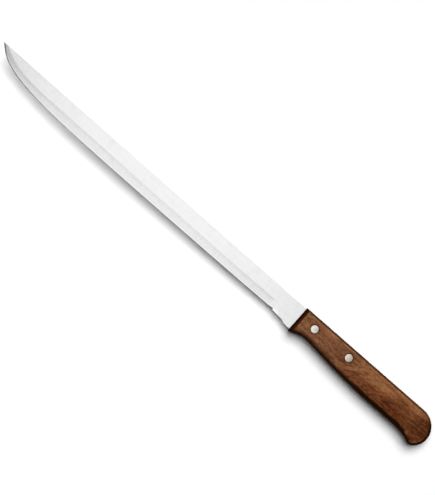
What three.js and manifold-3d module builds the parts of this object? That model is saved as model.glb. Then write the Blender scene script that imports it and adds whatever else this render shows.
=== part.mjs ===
// A long ham knife: a stamped steel blade, hollow ground to a point, whose short tang sits in a slot
// in a wooden handle and is held there by two cutler's rivets.
// Millimetres. The knife lies on its side: X runs to the point, Y from the spine to the edge, Z up.
// While it is drawn, X is 0 at the handle's front, Y on the spine and Z in the blade's middle plane.

import * as THREE from 'three';
import { mergeVertices } from 'three/addons/utils/BufferGeometryUtils.js';
import Module from 'manifold-3d';

// Blade: lengths run forward from the handle, depths run down from the spine
const BLADE_LENGTH = 300;
const BLADE_THICKNESS = 2;
const SPINE_BREAK = 0.12;          // chamfer on both corners of the spine
const HEEL_DEPTH = 16.9;           // where the sharp edge starts
const EDGE_AIM_DEPTH = 17.45;      // it leaves that place towards this depth
const BELLY_DEPTH = 17.95;         // the deepest place of the sharp edge
const BELLY_TO_POINT = 115;        // from the deepest place to the point
const POINT_PULL_BACK = 13;        // the edge leaves the point towards this place
const POINT_PULL_DOWN = 13.2;

// Heel: the stretch beside the handle that is never sharpened, in order from the handle
const HEEL_END_DEPTH = 19.45;      // depth at the handle
const HEEL_STRAIGHT = 4.1;         // length that keeps that depth
const HEEL_FLARE = 6.5;            // length over which the heel is drawn in
const HEEL_NECK_DEPTH = 17.95;     // depth after that
const HEEL_NECK = 8.35;            // length from there to the sharp edge
const EDGE_STEP = 0.4;             // depth of the notch where sharpening starts
const EDGE_STEP_RUN = 0.4;         // length of that notch

// Hollow grind and sharpened bevel
const GRIND_WIDTH = 6.9;           // from the grind line to the edge, where the sharp edge starts
const GRIND_RUN_OUT = 1.05;        // from the start of the sharp edge to where that line turns down
const GRIND_HEEL_ROUND = 7.3;      // length over which it does, back into the heel
const HOLLOW_RUN_OUT = 12;         // length over which the hollow there comes to its full depth
const GRIND_TURN_TO_POINT = 76;    // from where it turns up at the front to the point
const GRIND_PAST_SPINE = 2.6;      // how far over the spine it would be at the point
const GRIND_END_PULL_BACK = 15;    // it arrives there from this place
const GRIND_END_PULL_DOWN = 13;
const EDGE_LAND = 0.2;             // thickness left above the sharpened bevel
const BEVEL_WIDTH = 0.4;           // width of the sharpened bevel there
const EDGE_THICKNESS = 0.04;       // thickness of the cutting edge itself

// Tang: lengths run back from the handle's front
const TANG_DEPTH = 14.6;
const TANG_PAST_RIVET = 13;        // from the rear rivet to the tang's end
const TANG_CORNER = 4;             // rounding of its lower rear corner

// Handle: lengths run back from its front, depths run down from the line of the spine
const HANDLE_LENGTH = 130.85;
const HANDLE_THICKNESS = 16;
const FRONT_DEPTH = 21.45;         // lower corner of the front end
const BACK_PROUD = 0.8;            // the back stands this far above the spine at the front
const BACK_RISE = 0.62;            // and rises this much more to the butt
const WAIST_AT = 13.4;             // finger hollow behind the front corner
const WAIST_DEPTH = 17.65;
const PALM_TO_BUTT = 46.4;         // from the fullest place of the belly to the end
const PALM_DEPTH = 21.85;
const BUTT_SHOULDER = 15.65;       // length over which the back rounds down to the butt
const BUTT_REAR_DROP = 15.2;       // how far it falls to the rearmost place
const BUTT_ROUND = 12.45;          // length of the oval below that place
const BUTT_DEPTH = 27.9;           // depth of the whole oval
const BEAK_TO_BUTT = 6;            // from where the oval runs into the hooked corner to the end
const BEAK_ANGLE = 27;             // degrees by which the belly dips into that corner
const BEAK_PULL = 8.5;             // length over which it does
const EDGE_ROUND = 3.4;            // round-over along the back, the belly and the butt
const NOSE_RUN = 3.2;              // rounded bevel at the front end, along the handle
const NOSE_DROP = 4;               // and across it, on each side

// Rivets: places run back from the handle's front and down from the line of the spine
const RIVET_HEAD_DIAMETER = 6.3;
const RIVET_HEAD_THICKNESS = 1.5;
const RIVET_HEAD_CROWN = 0.1;      // height of its shallow dome
const RIVET_HEAD_RIM = 0.25;       // broken corner round the head
const RIVET_POST_DIAMETER = 3;
const RIVET_POST_TAPER = 0.4;      // lead-in at the post's end
const RIVET_SLEEVE_WALL = 0.6;
const FRONT_RIVET_AT = 14.45;
const FRONT_RIVET_DEPTH = 7.35;
const REAR_RIVET_AT = 47.5;
const REAR_RIVET_DEPTH = 6.6;

// Clearances
const SLOT_CLEARANCE = 0.15;       // between the tang and each wall of its slot
const BORE_CLEARANCE = 0.1;        // round a rivet's post and sleeve
const HEAD_CLEARANCE = 0.1;        // round and under a rivet's head
const SEAT_GAP = 0.1;              // between the blade's shoulder and the handle's front
const END_GAP = 0.3;               // between the end of a post or sleeve and what it points at

// Shapes of curves, as shares of their length: how long each end keeps its direction
const HEEL_EASE = [0.5, 0.5];
const EDGE_EASE = [0.2, 0.45];
const BELLY_EASE = 0.79;
const GRIND_EASE = 0.52;
const FRONT_EASE = [0.45, 0.25];
const PALM_EASE = [0.55, 0.15];
const BEAK_EASE = 0.53;
const NOSE_LEAN = 0.3;             // share of the nose's run and drop left to its curve's corner
const BEAK_FULLNESS = 1.15;        // the hooked corner's least radius, as a multiple of the round-over
const HOLLOWNESS = 0.7;            // 0 grinds a flat wedge, 1 leaves parallel sides at the edge
const POINT_BEVEL_SHARE = 0.33;    // most that the sharpened bevel takes of the blade's depth at the point
const POINT_BREAK_SHARE = 0.1;     // most that the spine's chamfer takes of it

// Fineness of the facets
const BLADE_SEGMENTS = 24;
const CURVE_SEGMENTS = 12;
const ROUND_OVER_STEPS = 5;
const HOLLOW_STEPS = 5;
const RIVET_SEGMENTS = 32;
const CROWN_STEPS = 3;
const GRIND_SAMPLES = 120;

// Places that follow from these sizes
const HALF_BLADE = BLADE_THICKNESS / 2;
const HALF_HANDLE = HANDLE_THICKNESS / 2;
const NECK_AT = HEEL_STRAIGHT + HEEL_FLARE;
const EDGE_START = NECK_AT + HEEL_NECK;
const GRIND_DEPTH = HEEL_DEPTH - GRIND_WIDTH;
const GRIND_HEEL_AT = EDGE_START + GRIND_RUN_OUT;
const GRIND_START = GRIND_HEEL_AT - GRIND_HEEL_ROUND;
const TANG_LENGTH = REAR_RIVET_AT + TANG_PAST_RIVET;
const POST_RADIUS = RIVET_POST_DIAMETER / 2;
const SLEEVE_BORE_RADIUS = POST_RADIUS + BORE_CLEARANCE;
const SLEEVE_RADIUS = SLEEVE_BORE_RADIUS + RIVET_SLEEVE_WALL;
const RIVET_HOLE_RADIUS = SLEEVE_RADIUS + BORE_CLEARANCE;
const HEAD_RADIUS = RIVET_HEAD_DIAMETER / 2;
const HEAD_SEAT = HALF_HANDLE - RIVET_HEAD_THICKNESS;
const BUTT_FALL = BUTT_DEPTH - BUTT_REAR_DROP;
const OVERCUT = EDGE_ROUND + NOSE_RUN;
const RIVETS = {
  front: new THREE.Vector2(-FRONT_RIVET_AT, FRONT_RIVET_DEPTH),
  rear: new THREE.Vector2(-REAR_RIVET_AT, REAR_RIVET_DEPTH),
};

const wasm = await Module();
wasm.setup();

const point = (x, y) => new THREE.Vector2(x, y);

// Closed geometry as a solid that can be joined and cut: shared corners merged, empty triangles dropped.
function solid(geometry) {
  const bare = geometry.clone();
  bare.deleteAttribute('normal');
  bare.deleteAttribute('uv');
  const merged = mergeVertices(bare);
  const corners = merged.index.array;
  const triangles = [];
  for (let i = 0; i < corners.length; i += 3) {
    const [a, b, c] = corners.slice(i, i + 3);
    if (a !== b && b !== c && c !== a) triangles.push(a, b, c);
  }
  return new wasm.Manifold(new wasm.Mesh({
    numProp: 3,
    vertProperties: merged.attributes.position.array,
    triVerts: new Uint32Array(triangles),
  }));
}

// The surface of a solid, as geometry again.
function surface(body) {
  const mesh = body.getMesh();
  const geometry = new THREE.BufferGeometry();
  geometry.setAttribute('position', new THREE.BufferAttribute(mesh.vertProperties, 3));
  geometry.setIndex(new THREE.BufferAttribute(mesh.triVerts, 1));
  geometry.computeVertexNormals();
  return geometry;
}

// An outline given a thickness, half above and half below the middle plane.
function slab(outline, thickness) {
  const settings = { depth: thickness, bevelEnabled: false, curveSegments: CURVE_SEGMENTS };
  return new THREE.ExtrudeGeometry(outline, settings).translate(0, 0, -thickness / 2);
}

// A profile of [radius, height] pairs turned round an upright axis that stands at a place.
function turned(profile, place) {
  const points = profile.map(([radius, height]) => point(radius, height));
  const geometry = new THREE.LatheGeometry(points, RIVET_SEGMENTS);
  return geometry.rotateX(Math.PI / 2).translate(place.x, place.y, 0);
}

// A skin over rings of equally many points: a fan closes the first ring and a tip closes the last.
function loft(rings, tip) {
  const size = rings[0].length;
  const middle = new THREE.Vector3();
  rings[0].forEach((corner) => middle.addScaledVector(corner, 1 / size));
  const points = [...rings.flat(), middle, tip];
  const middleIndex = points.length - 2;
  const tipIndex = points.length - 1;
  const lastRing = (rings.length - 1) * size;
  const triangles = [];
  for (let k = 0; k < size; k += 1) {
    const next = (k + 1) % size;
    triangles.push(middleIndex, next, k);
    for (let ring = 0; ring < lastRing; ring += size) {
      triangles.push(ring + k, ring + next, ring + size + next);
      triangles.push(ring + k, ring + size + next, ring + size + k);
    }
    triangles.push(lastRing + k, lastRing + next, tipIndex);
  }
  return new THREE.BufferGeometry().setFromPoints(points).setIndex(triangles);
}

// A straight stretch that gets as many stations as a curve.
function stretch(from, to) {
  return new THREE.QuadraticBezierCurve(from, from.clone().lerp(to, 0.5), to);
}

// A curve that starts and ends level: each end keeps its depth for a share of the length.
function eased(from, to, [leave, arrive]) {
  const run = to.x - from.x;
  const first = point(from.x + run * leave, from.y);
  const second = point(to.x - run * arrive, to.y);
  return new THREE.CubicBezierCurve(from, first, second, to);
}

function path(...curves) {
  const whole = new THREE.CurvePath();
  curves.forEach((curve) => whole.add(curve));
  return whole;
}

// The blade's lower line from the handle to the point: heel, notch, long edge and upswept belly.
function lowerLine() {
  const corner = point(SEAT_GAP, HEEL_END_DEPTH);
  const bend = point(HEEL_STRAIGHT, HEEL_END_DEPTH);
  const neck = point(NECK_AT, HEEL_NECK_DEPTH);
  const heelEnd = point(EDGE_START, HEEL_DEPTH + EDGE_STEP);
  const edgeStart = point(EDGE_START + EDGE_STEP_RUN, HEEL_DEPTH);
  const belly = point(BLADE_LENGTH - BELLY_TO_POINT, BELLY_DEPTH);
  const run = belly.x - edgeStart.x;
  const edgeAim = point(edgeStart.x + run * EDGE_EASE[0], EDGE_AIM_DEPTH);
  const bellyLead = point(belly.x - run * EDGE_EASE[1], BELLY_DEPTH);
  const bellyAim = point(belly.x + BELLY_TO_POINT * BELLY_EASE, BELLY_DEPTH);
  const pointAim = point(BLADE_LENGTH - POINT_PULL_BACK, POINT_PULL_DOWN);
  const tip = point(BLADE_LENGTH, 0);
  return path(
    new THREE.LineCurve(corner, bend),
    eased(bend, neck, HEEL_EASE),
    stretch(neck, heelEnd),
    new THREE.LineCurve(heelEnd, edgeStart),
    new THREE.CubicBezierCurve(edgeStart, edgeAim, bellyLead, belly),
    new THREE.CubicBezierCurve(belly, bellyAim, pointAim, tip),
  );
}

// The line where the flat side meets the hollow grind: up out of the heel as the wheel's round leaves it,
// along the blade, out over the spine.
function grindLine() {
  const start = point(GRIND_START, HEEL_END_DEPTH);
  const heelAim = point(GRIND_START, GRIND_DEPTH);
  const heel = point(GRIND_HEEL_AT, GRIND_DEPTH);
  const turn = point(BLADE_LENGTH - GRIND_TURN_TO_POINT, GRIND_DEPTH);
  const turnAim = point(turn.x + GRIND_TURN_TO_POINT * GRIND_EASE, GRIND_DEPTH);
  const end = point(BLADE_LENGTH, -GRIND_PAST_SPINE);
  const endAim = point(end.x - GRIND_END_PULL_BACK, end.y + GRIND_END_PULL_DOWN);
  return path(
    new THREE.QuadraticBezierCurve(start, heelAim, heel),
    new THREE.LineCurve(heel, turn),
    new THREE.CubicBezierCurve(turn, turnAim, endAim, end),
  );
}

// Depth of a sampled line at a distance along the blade. Before its start it keeps its first depth.
function depthAt(samples, x) {
  const next = samples.findIndex((sample) => sample.x > x);
  if (next === 0) return samples[0].y;
  if (next < 0) return samples.at(-1).y;
  const [a, b] = [samples[next - 1], samples[next]];
  return THREE.MathUtils.mapLinear(x, a.x, b.x, a.y, b.y);
}

// Half the blade's thickness at a depth: full above the grind line, then hollowed to the edge land.
function halfThickness(depth, grind, width) {
  const share = THREE.MathUtils.clamp((depth - grind) / width, 0, 1);
  const hollow = HOLLOWNESS * (1 - (1 - share) ** 2) + (1 - HOLLOWNESS) * share;
  return THREE.MathUtils.lerp(HALF_BLADE, EDGE_LAND / 2, hollow);
}

// One cross-section of the blade, down its lower side and back along its upper side.
// The hollow keeps its slope where it gets narrower, at the heel and at the point, so the steel is thicker
// there and the bevel gets both wider and steeper. At the heel the hollow also runs out in depth.
function bladeSection(x, depth, grind) {
  const width = Math.max(depth - BEVEL_WIDTH - grind, GRIND_WIDTH - BEVEL_WIDTH);
  const runOut = THREE.MathUtils.smoothstep(x, GRIND_START, GRIND_START + HOLLOW_RUN_OUT);
  const half = (y) => THREE.MathUtils.lerp(HALF_BLADE, halfThickness(y, grind, width), runOut);
  const sharpened = BEVEL_WIDTH * Math.sqrt(half(depth - BEVEL_WIDTH) / (EDGE_LAND / 2));
  const bevel = Math.min(sharpened, depth * POINT_BEVEL_SHARE);
  const shoulder = depth - bevel;
  const corner = Math.min(SPINE_BREAK, depth * POINT_BREAK_SHARE, half(0) / 2);
  const flatEnd = THREE.MathUtils.clamp(grind, 2 * corner, shoulder - bevel / 2);
  const side = [[0, half(0) - corner], [corner, half(corner)]];
  for (let k = 0; k <= HOLLOW_STEPS; k += 1) {
    const y = THREE.MathUtils.lerp(flatEnd, shoulder, k / HOLLOW_STEPS);
    side.push([y, half(y)]);
  }
  side.push([depth, x > EDGE_START ? EDGE_THICKNESS / 2 : half(depth)]);
  const lower = side.map(([y, z]) => new THREE.Vector3(x, y, -z));
  const upper = side.map(([y, z]) => new THREE.Vector3(x, y, z)).reverse();
  return [...lower, ...upper];
}

// The ground blade from the handle's front to the point.
function groundBlade() {
  const stations = lowerLine().getPoints(BLADE_SEGMENTS);
  const grind = grindLine().getPoints(GRIND_SAMPLES);
  const rings = stations.slice(0, -1).map(({ x, y }) => bladeSection(x, y, depthAt(grind, x)));
  return loft(rings, new THREE.Vector3(BLADE_LENGTH, 0, 0));
}

// The tang seen from its side. With a clearance it is the slot, open at the handle's front and back.
function tangOutline(front, back, clearance) {
  const end = -TANG_LENGTH - clearance;
  const bottom = TANG_DEPTH + clearance;
  const round = TANG_CORNER + clearance;
  const outline = new THREE.Shape();
  outline.moveTo(front, back);
  outline.lineTo(front, bottom);
  outline.lineTo(end + round, bottom);
  outline.quadraticCurveTo(end, bottom, end, bottom - round);
  outline.lineTo(end, back);
  return outline;
}

// The blade and its tang are one piece of sheet, with a hole in the tang for each rivet's sleeve.
function bladeGeometry() {
  const tang = slab(tangOutline(HEEL_STRAIGHT / 2, SPINE_BREAK, 0), BLADE_THICKNESS);
  let body = solid(groundBlade()).add(solid(tang));
  Object.values(RIVETS).forEach((place) => {
    const [radius, reach] = [RIVET_HOLE_RADIUS, BLADE_THICKNESS];
    const hole = turned([[0, -reach], [radius, -reach], [radius, reach], [0, reach]], place);
    body = body.subtract(solid(hole));
  });
  return surface(body);
}

// The hooked lower corner of the butt, where the oval's tangent meets the belly's dip. Its rounding reaches
// equally far along both, far enough that the round-over can follow it.
function beakCorner(centre, ovalEnd) {
  const dip = THREE.MathUtils.degToRad(BEAK_ANGLE);
  const rise = point(Math.cos(dip), -Math.sin(dip));
  const along = point(BUTT_ROUND * Math.sin(ovalEnd), -BUTT_FALL * Math.cos(ovalEnd)).normalize();
  const halfTurn = Math.acos(along.dot(rise)) / 2;
  const reach = BEAK_FULLNESS * EDGE_ROUND * Math.tan(halfTurn) / Math.cos(halfTurn);
  const beak = point(
    centre.x + BUTT_ROUND * Math.cos(ovalEnd) + along.x * reach,
    centre.y + BUTT_FALL * Math.sin(ovalEnd) + along.y * reach,
  );
  return { beak, beakStart: beak.clone().addScaledVector(rise, reach), rise };
}

// The handle seen from its side, with a straight stretch of spare length ahead of its front.
function handleOutline() {
  const shoulderX = BUTT_SHOULDER - HANDLE_LENGTH;
  const buttX = BUTT_ROUND - HANDLE_LENGTH;
  const backAtButt = -BACK_PROUD - BACK_RISE;
  const buttY = backAtButt + BUTT_REAR_DROP;
  const ovalEnd = Math.PI - Math.acos((BUTT_ROUND - BEAK_TO_BUTT) / BUTT_ROUND);
  const { beak, beakStart, rise } = beakCorner(point(buttX, buttY), ovalEnd);
  const beakAim = beakStart.clone().addScaledVector(rise, BEAK_PULL);
  const palm = point(PALM_TO_BUTT - HANDLE_LENGTH, PALM_DEPTH);
  const palmAim = point(palm.x + (beakStart.x - palm.x) * BEAK_EASE, PALM_DEPTH);
  const waist = point(-WAIST_AT, WAIST_DEPTH);
  const front = point(0, FRONT_DEPTH);
  const outline = new THREE.Shape();
  outline.moveTo(OVERCUT, -BACK_PROUD);
  outline.lineTo(0, -BACK_PROUD);
  outline.lineTo(shoulderX, backAtButt);
  outline.absellipse(shoulderX, buttY, BUTT_SHOULDER, BUTT_REAR_DROP, 1.5 * Math.PI, Math.PI, true);
  outline.absellipse(buttX, buttY, BUTT_ROUND, BUTT_FALL, Math.PI, ovalEnd, true);
  outline.quadraticCurveTo(beak.x, beak.y, beakStart.x, beakStart.y);
  outline.bezierCurveTo(beakAim.x, beakAim.y, palmAim.x, palmAim.y, palm.x, palm.y);
  outline.curves.push(eased(palm, waist, PALM_EASE));
  outline.curves.push(eased(waist, front, FRONT_EASE));
  outline.curves.push(new THREE.LineCurve(front, point(OVERCUT, FRONT_DEPTH)));
  return outline;
}

// The handle's block: its outline with a round-over on both sides.
function handleBlock() {
  const settings = {
    depth: HANDLE_THICKNESS - 2 * EDGE_ROUND,
    curveSegments: CURVE_SEGMENTS,
    bevelThickness: EDGE_ROUND,
    bevelSize: EDGE_ROUND,
    bevelOffset: -EDGE_ROUND,
    bevelSegments: ROUND_OVER_STEPS,
  };
  return new THREE.ExtrudeGeometry(handleOutline(), settings).translate(0, 0, EDGE_ROUND - HALF_HANDLE);
}

// What the rounded bevel of the front end leaves, seen from the back and carried across the handle.
function noseKeep() {
  const outside = HALF_HANDLE + OVERCUT;
  const behind = -HANDLE_LENGTH - OVERCUT;
  const lip = HALF_HANDLE - NOSE_DROP;
  const cornerX = -NOSE_RUN * NOSE_LEAN;
  const cornerZ = HALF_HANDLE - NOSE_DROP * NOSE_LEAN;
  const outline = new THREE.Shape();
  outline.moveTo(behind, -outside);
  outline.lineTo(-NOSE_RUN, -outside);
  outline.lineTo(-NOSE_RUN, -HALF_HANDLE);
  outline.quadraticCurveTo(cornerX, -cornerZ, 0, -lip);
  outline.lineTo(0, lip);
  outline.quadraticCurveTo(cornerX, cornerZ, -NOSE_RUN, HALF_HANDLE);
  outline.lineTo(-NOSE_RUN, outside);
  outline.lineTo(behind, outside);
  const across = 2 * (BUTT_DEPTH + FRONT_DEPTH + PALM_DEPTH);
  return slab(outline, across).rotateX(Math.PI / 2);
}

// The stepped hole for one rivet: wide for both heads, narrow for the sleeve between them.
function rivetBore(place) {
  const wide = HEAD_RADIUS + HEAD_CLEARANCE;
  const floor = HEAD_SEAT - HEAD_CLEARANCE;
  const outside = HALF_HANDLE + OVERCUT;
  return turned([
    [0, -outside], [wide, -outside], [wide, -floor], [RIVET_HOLE_RADIUS, -floor],
    [RIVET_HOLE_RADIUS, floor], [wide, floor], [wide, outside], [0, outside],
  ], place);
}

function handleGeometry() {
  const slot = slab(tangOutline(OVERCUT, -OVERCUT, SLOT_CLEARANCE), BLADE_THICKNESS + 2 * SLOT_CLEARANCE);
  let body = solid(handleBlock()).intersect(solid(noseKeep())).subtract(solid(slot));
  Object.values(RIVETS).forEach((place) => {
    body = body.subtract(solid(rivetBore(place)));
  });
  return surface(body);
}

// A rivet head's outside, from its edge to the top of its dome, which is flush with the handle's side.
function headProfile() {
  const inner = HEAD_RADIUS - RIVET_HEAD_RIM;
  const rimTop = HALF_HANDLE - RIVET_HEAD_CROWN;
  const profile = [[HEAD_RADIUS, HEAD_SEAT], [HEAD_RADIUS, rimTop - RIVET_HEAD_RIM]];
  for (let k = CROWN_STEPS; k >= 0; k -= 1) {
    const share = k / CROWN_STEPS;
    profile.push([inner * share, HALF_HANDLE - RIVET_HEAD_CROWN * share ** 2]);
  }
  return profile;
}

// The solid half of a rivet: a pin under a head, in from the upper side.
function postGeometry(place) {
  const end = END_GAP - HEAD_SEAT;
  return turned([
    [0, end], [POST_RADIUS - RIVET_POST_TAPER, end], [POST_RADIUS, end + RIVET_POST_TAPER],
    [POST_RADIUS, HEAD_SEAT], ...headProfile(),
  ], place);
}

// The hollow half of a rivet: a tube on a head, in from the lower side.
function sleeveGeometry(place) {
  const mouth = HEAD_SEAT - END_GAP;
  const head = headProfile().reverse().map(([radius, height]) => [radius, -height]);
  return turned([
    ...head, [SLEEVE_RADIUS, -HEAD_SEAT], [SLEEVE_RADIUS, mouth],
    [SLEEVE_BORE_RADIUS, mouth], [SLEEVE_BORE_RADIUS, -HEAD_SEAT], [0, -HEAD_SEAT],
  ], place);
}

// Materials
const steel = new THREE.MeshStandardMaterial({ color: '#e4e6e9', roughness: 0.3, metalness: 1 });
const wood = new THREE.MeshStandardMaterial({ color: '#764a2f', roughness: 0.5, metalness: 0 });
const rivetMetal = new THREE.MeshStandardMaterial({ color: '#e8e3dd', roughness: 0.35, metalness: 1 });

function piece(name, geometry, material) {
  const mesh = new THREE.Mesh(geometry, material);
  mesh.name = name;
  return mesh;
}

const knife = new THREE.Group();
knife.add(piece('blade', bladeGeometry(), steel));
knife.add(piece('handle', handleGeometry(), wood));
Object.entries(RIVETS).forEach(([which, place]) => {
  knife.add(piece(`${which}_rivet_post`, postGeometry(place), rivetMetal));
  knife.add(piece(`${which}_rivet_sleeve`, sleeveGeometry(place), rivetMetal));
});

// The origin lies under the middle of the knife's outline, on the surface that the handle's side rests on.
const box = new THREE.Box3().setFromObject(knife);
const centre = box.getCenter(new THREE.Vector3());
knife.position.set(-centre.x, -centre.y, -box.min.z);

const part = new THREE.Group();
part.add(knife);

export default part;
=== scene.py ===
# %% [markdown]
# # Dressing a ham knife
# The knife is a long slender blade, hollow ground to a swept point, whose short tang is riveted
# into a shaped wooden handle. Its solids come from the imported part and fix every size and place.
# This lesson builds a finer skin for each solid from numpy formulas, gives it a finish made of
# shader nodes, and sets the knife on a white floor under soft light.

# %% Load the knife's solids
import math

import bpy
import numpy as np
from mathutils import Matrix, Vector


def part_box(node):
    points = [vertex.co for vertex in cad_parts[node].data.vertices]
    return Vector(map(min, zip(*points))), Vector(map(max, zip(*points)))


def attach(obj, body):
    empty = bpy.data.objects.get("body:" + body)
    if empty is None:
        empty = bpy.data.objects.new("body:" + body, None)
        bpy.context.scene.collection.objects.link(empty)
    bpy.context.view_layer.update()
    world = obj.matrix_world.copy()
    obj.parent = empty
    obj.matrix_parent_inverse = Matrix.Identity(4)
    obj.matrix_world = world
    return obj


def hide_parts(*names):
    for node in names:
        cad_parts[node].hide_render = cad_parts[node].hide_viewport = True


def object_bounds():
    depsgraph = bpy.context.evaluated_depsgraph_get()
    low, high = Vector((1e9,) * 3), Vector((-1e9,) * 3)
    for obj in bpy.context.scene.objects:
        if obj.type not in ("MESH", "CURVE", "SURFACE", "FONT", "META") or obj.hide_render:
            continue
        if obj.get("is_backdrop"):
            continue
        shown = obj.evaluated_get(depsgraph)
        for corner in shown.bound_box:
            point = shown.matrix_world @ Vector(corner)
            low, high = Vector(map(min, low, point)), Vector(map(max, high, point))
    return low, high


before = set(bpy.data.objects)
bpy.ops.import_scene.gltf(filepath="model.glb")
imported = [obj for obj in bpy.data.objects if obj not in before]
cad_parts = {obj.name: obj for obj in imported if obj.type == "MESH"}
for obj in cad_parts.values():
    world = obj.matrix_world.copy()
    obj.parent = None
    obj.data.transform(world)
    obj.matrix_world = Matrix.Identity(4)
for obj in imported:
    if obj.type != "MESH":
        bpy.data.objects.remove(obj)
cad_low, cad_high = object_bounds()
print("solids:", sorted(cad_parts))

# %% [markdown]
# ## One drawing for all pieces
# A knife maker draws from the handle's front end: forward along the blade, down from the spine, and
# out to both sides from the middle of the sheet. All curves below are in those millimetres, and one
# function puts them into the frame. Metres in the frame would do too, but then no number could be read
# off a drawing. What the solids can tell is read from them, so that the skins can't drift away: blade
# and handle lengths, sheet and handle thickness, and the rivets' places.

# %% Sizes read from the solids
MM = 0.001
blade_low, blade_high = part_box("blade")
handle_low, handle_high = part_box("handle")
DRAWING_ORIGIN = np.array([handle_high.x, blade_low.y, (blade_low.z + blade_high.z) / 2])
BLADE_LENGTH = (blade_high.x - handle_high.x) / MM
HALF_BLADE = (blade_high.z - blade_low.z) / MM / 2
TANG_LENGTH = (handle_high.x - blade_low.x) / MM
HANDLE_LENGTH = (handle_high.x - handle_low.x) / MM
HALF_HANDLE = (handle_high.z - handle_low.z) / MM / 2
BACK_AT_BUTT = (handle_low.y - blade_low.y) / MM


def in_frame(points):
    """Drawing millimetres (forward, down, out) as metres: scaled, then moved to the drawing's origin."""
    return np.asarray(points, float) * MM + DRAWING_ORIGIN


print(f"blade {BLADE_LENGTH:.1f} mm, handle {HANDLE_LENGTH:.1f} mm, tang {TANG_LENGTH:.1f} mm")

# %% [markdown]
# ## Curves
# The outlines are made of straight stretches and Bezier curves, as on a drawing board. A Bezier curve
# needs two to four corners, where a table of points would need hundreds and could not be adjusted.
# Curves that are level at both ends come up often, so they have a helper of their own.

# %% Curve helpers


def bezier(corners, count):
    """Each corner has its Bernstein share: n over k, times t to the k, times 1 - t to the rest."""
    t = np.linspace(0, 1, count)[:, None]
    n = len(corners) - 1
    shares = [math.comb(n, k) * t**k * (1 - t) ** (n - k) for k in range(n + 1)]
    return sum(share * np.array(corner, float) for share, corner in zip(shares, corners))


def eased(start, end, leave, arrive, count):
    """A Bezier curve that is level at both ends: each keeps its depth for a share of the length."""
    run = end[0] - start[0]
    aims = [(start[0] + run * leave, start[1]), (end[0] - run * arrive, end[1])]
    return bezier([start, *aims, end], count)


def chain(*curves):
    """Curves that meet end to end, as one list of points with each meeting point kept once."""
    return np.vstack([curves[0]] + [curve[1:] for curve in curves[1:]])


halfway = eased((0, 0), (10, 4), leave=0.5, arrive=0.5, count=3)[1]
print(f"an eased curve from 0, 0 to 10, 4 is halfway at {halfway[0]:.1f}, {halfway[1]:.1f}")

# %% [markdown]
# ## Skins
# Every piece is a skin over a row of rings with equally many points. Neighbouring rings are joined by
# four-sided faces. A ring that runs out along one side and back along the other is closed like a
# zip, pair by pair, and a round one by a fan to a single point. A loop over the points would do, but
# index arithmetic on whole arrays is shorter and faster.

# %% Rings joined into a skin


def zipped(ring):
    """Faces that close a ring: each pair of points is joined to the next pair."""
    half = len(ring) // 2
    out, back = ring[:half], ring[half:][::-1]
    return np.stack([out[:-1], out[1:], back[1:], back[:-1]], -1).tolist()


def skin(rings, first_point=None, last_point=None):
    """Points and faces: corner k of a ring joins corner k + 1 and the same two corners of the next ring."""
    count, size = rings.shape[:2]
    points = rings.reshape(-1, 3)
    corner = np.arange(size)
    after = (corner + 1) % size
    start = (np.arange(count - 1) * size)[:, None]
    quads = np.stack([start + corner, start + after, start + size + after, start + size + corner], -1)
    faces = quads.reshape(-1, 4).tolist()
    for apex, ring in ((first_point, corner[::-1]), (last_point, corner + (count - 1) * size)):
        if apex is None:
            faces += zipped(ring)
        else:
            points = np.vstack([points, apex])
            faces += np.stack([ring, np.roll(ring, -1), np.full(size, len(points) - 1)], -1).tolist()
    return points, faces


tube_points, tube_faces = skin(np.zeros((3, 8, 3)))
print(f"three rings of eight points: {len(tube_points)} points, {len(tube_faces)} faces")

# %% [markdown]
# Two shapes come up several times: a profile turned on a lathe, for rivets and bores, and an outline cut
# from a plate, for the tang and its slot. The volume that a skin encloses is worked out too, because
# it is negative when the faces point inwards.

# %% Turned and flat shapes
TURNED_SEGMENTS = 96


def turned(profile, place):
    """A profile of (radius, height) pairs carried round an upright axis: radius times cosine and sine."""
    profile = np.array(profile, float)
    angle = np.linspace(0, 2 * np.pi, TURNED_SEGMENTS, endpoint=False)
    radius, height = profile[1:-1, 0, None], profile[1:-1, 1, None]
    x = place[0] + radius * np.cos(angle)
    y = place[1] + radius * np.sin(angle)
    rings = np.stack([x, y, height + 0 * angle], -1)
    ends = [(*place, height) for height in profile[[0, -1], 1]]
    return skin(rings, *ends)


def slab(line, level, low, high):
    """The area between a line and a level, carried straight out from one height to another."""
    line = np.asarray(line, float)
    outline = np.vstack([line, np.column_stack([line[::-1, 0], np.full(len(line), level)])])
    rings = [np.column_stack([outline, np.full(len(outline), height)]) for height in (low, high)]
    return skin(np.array(rings))


def volume(points, faces):
    """Enclosed volume: each face, as a fan of triangles, spans a tetrahedron with the origin."""
    corners = [(f[0], f[k], f[k + 1]) for f in faces for k in range(1, len(f) - 1)]
    a, b, c = np.moveaxis(np.asarray(points)[np.array(corners)], 1, 0)
    return np.einsum("ij,ij->", a, np.cross(b, c)) / 6


disc = turned([(0, 0), (1, 0), (1, 1), (0, 1)], (0, 0))
print(f"a turned disc of radius and height 1 holds {abs(volume(*disc)):.4f}, a true one {math.pi:.4f}")

# %% [markdown]
# A skin becomes a Blender object whose place is in its mesh, so that the object itself stays at the
# origin. Cuts are Blender's exact Booleans, made at once, because later steps need the finished mesh. Edges
# that turn sharply are marked last, so that round stretches shade smoothly and arrises stay crisp.

# %% Objects, cuts and finished pieces


def make_object(name, points, faces):
    """A Blender object from drawing millimetres, with its faces turned outwards."""
    if volume(points, faces) < 0:
        faces = [face[::-1] for face in faces]
    mesh = bpy.data.meshes.new(name)
    mesh.from_pydata(in_frame(points).tolist(), [], faces)
    made = bpy.data.objects.new(name, mesh)
    bpy.context.scene.collection.objects.link(made)
    return made


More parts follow.
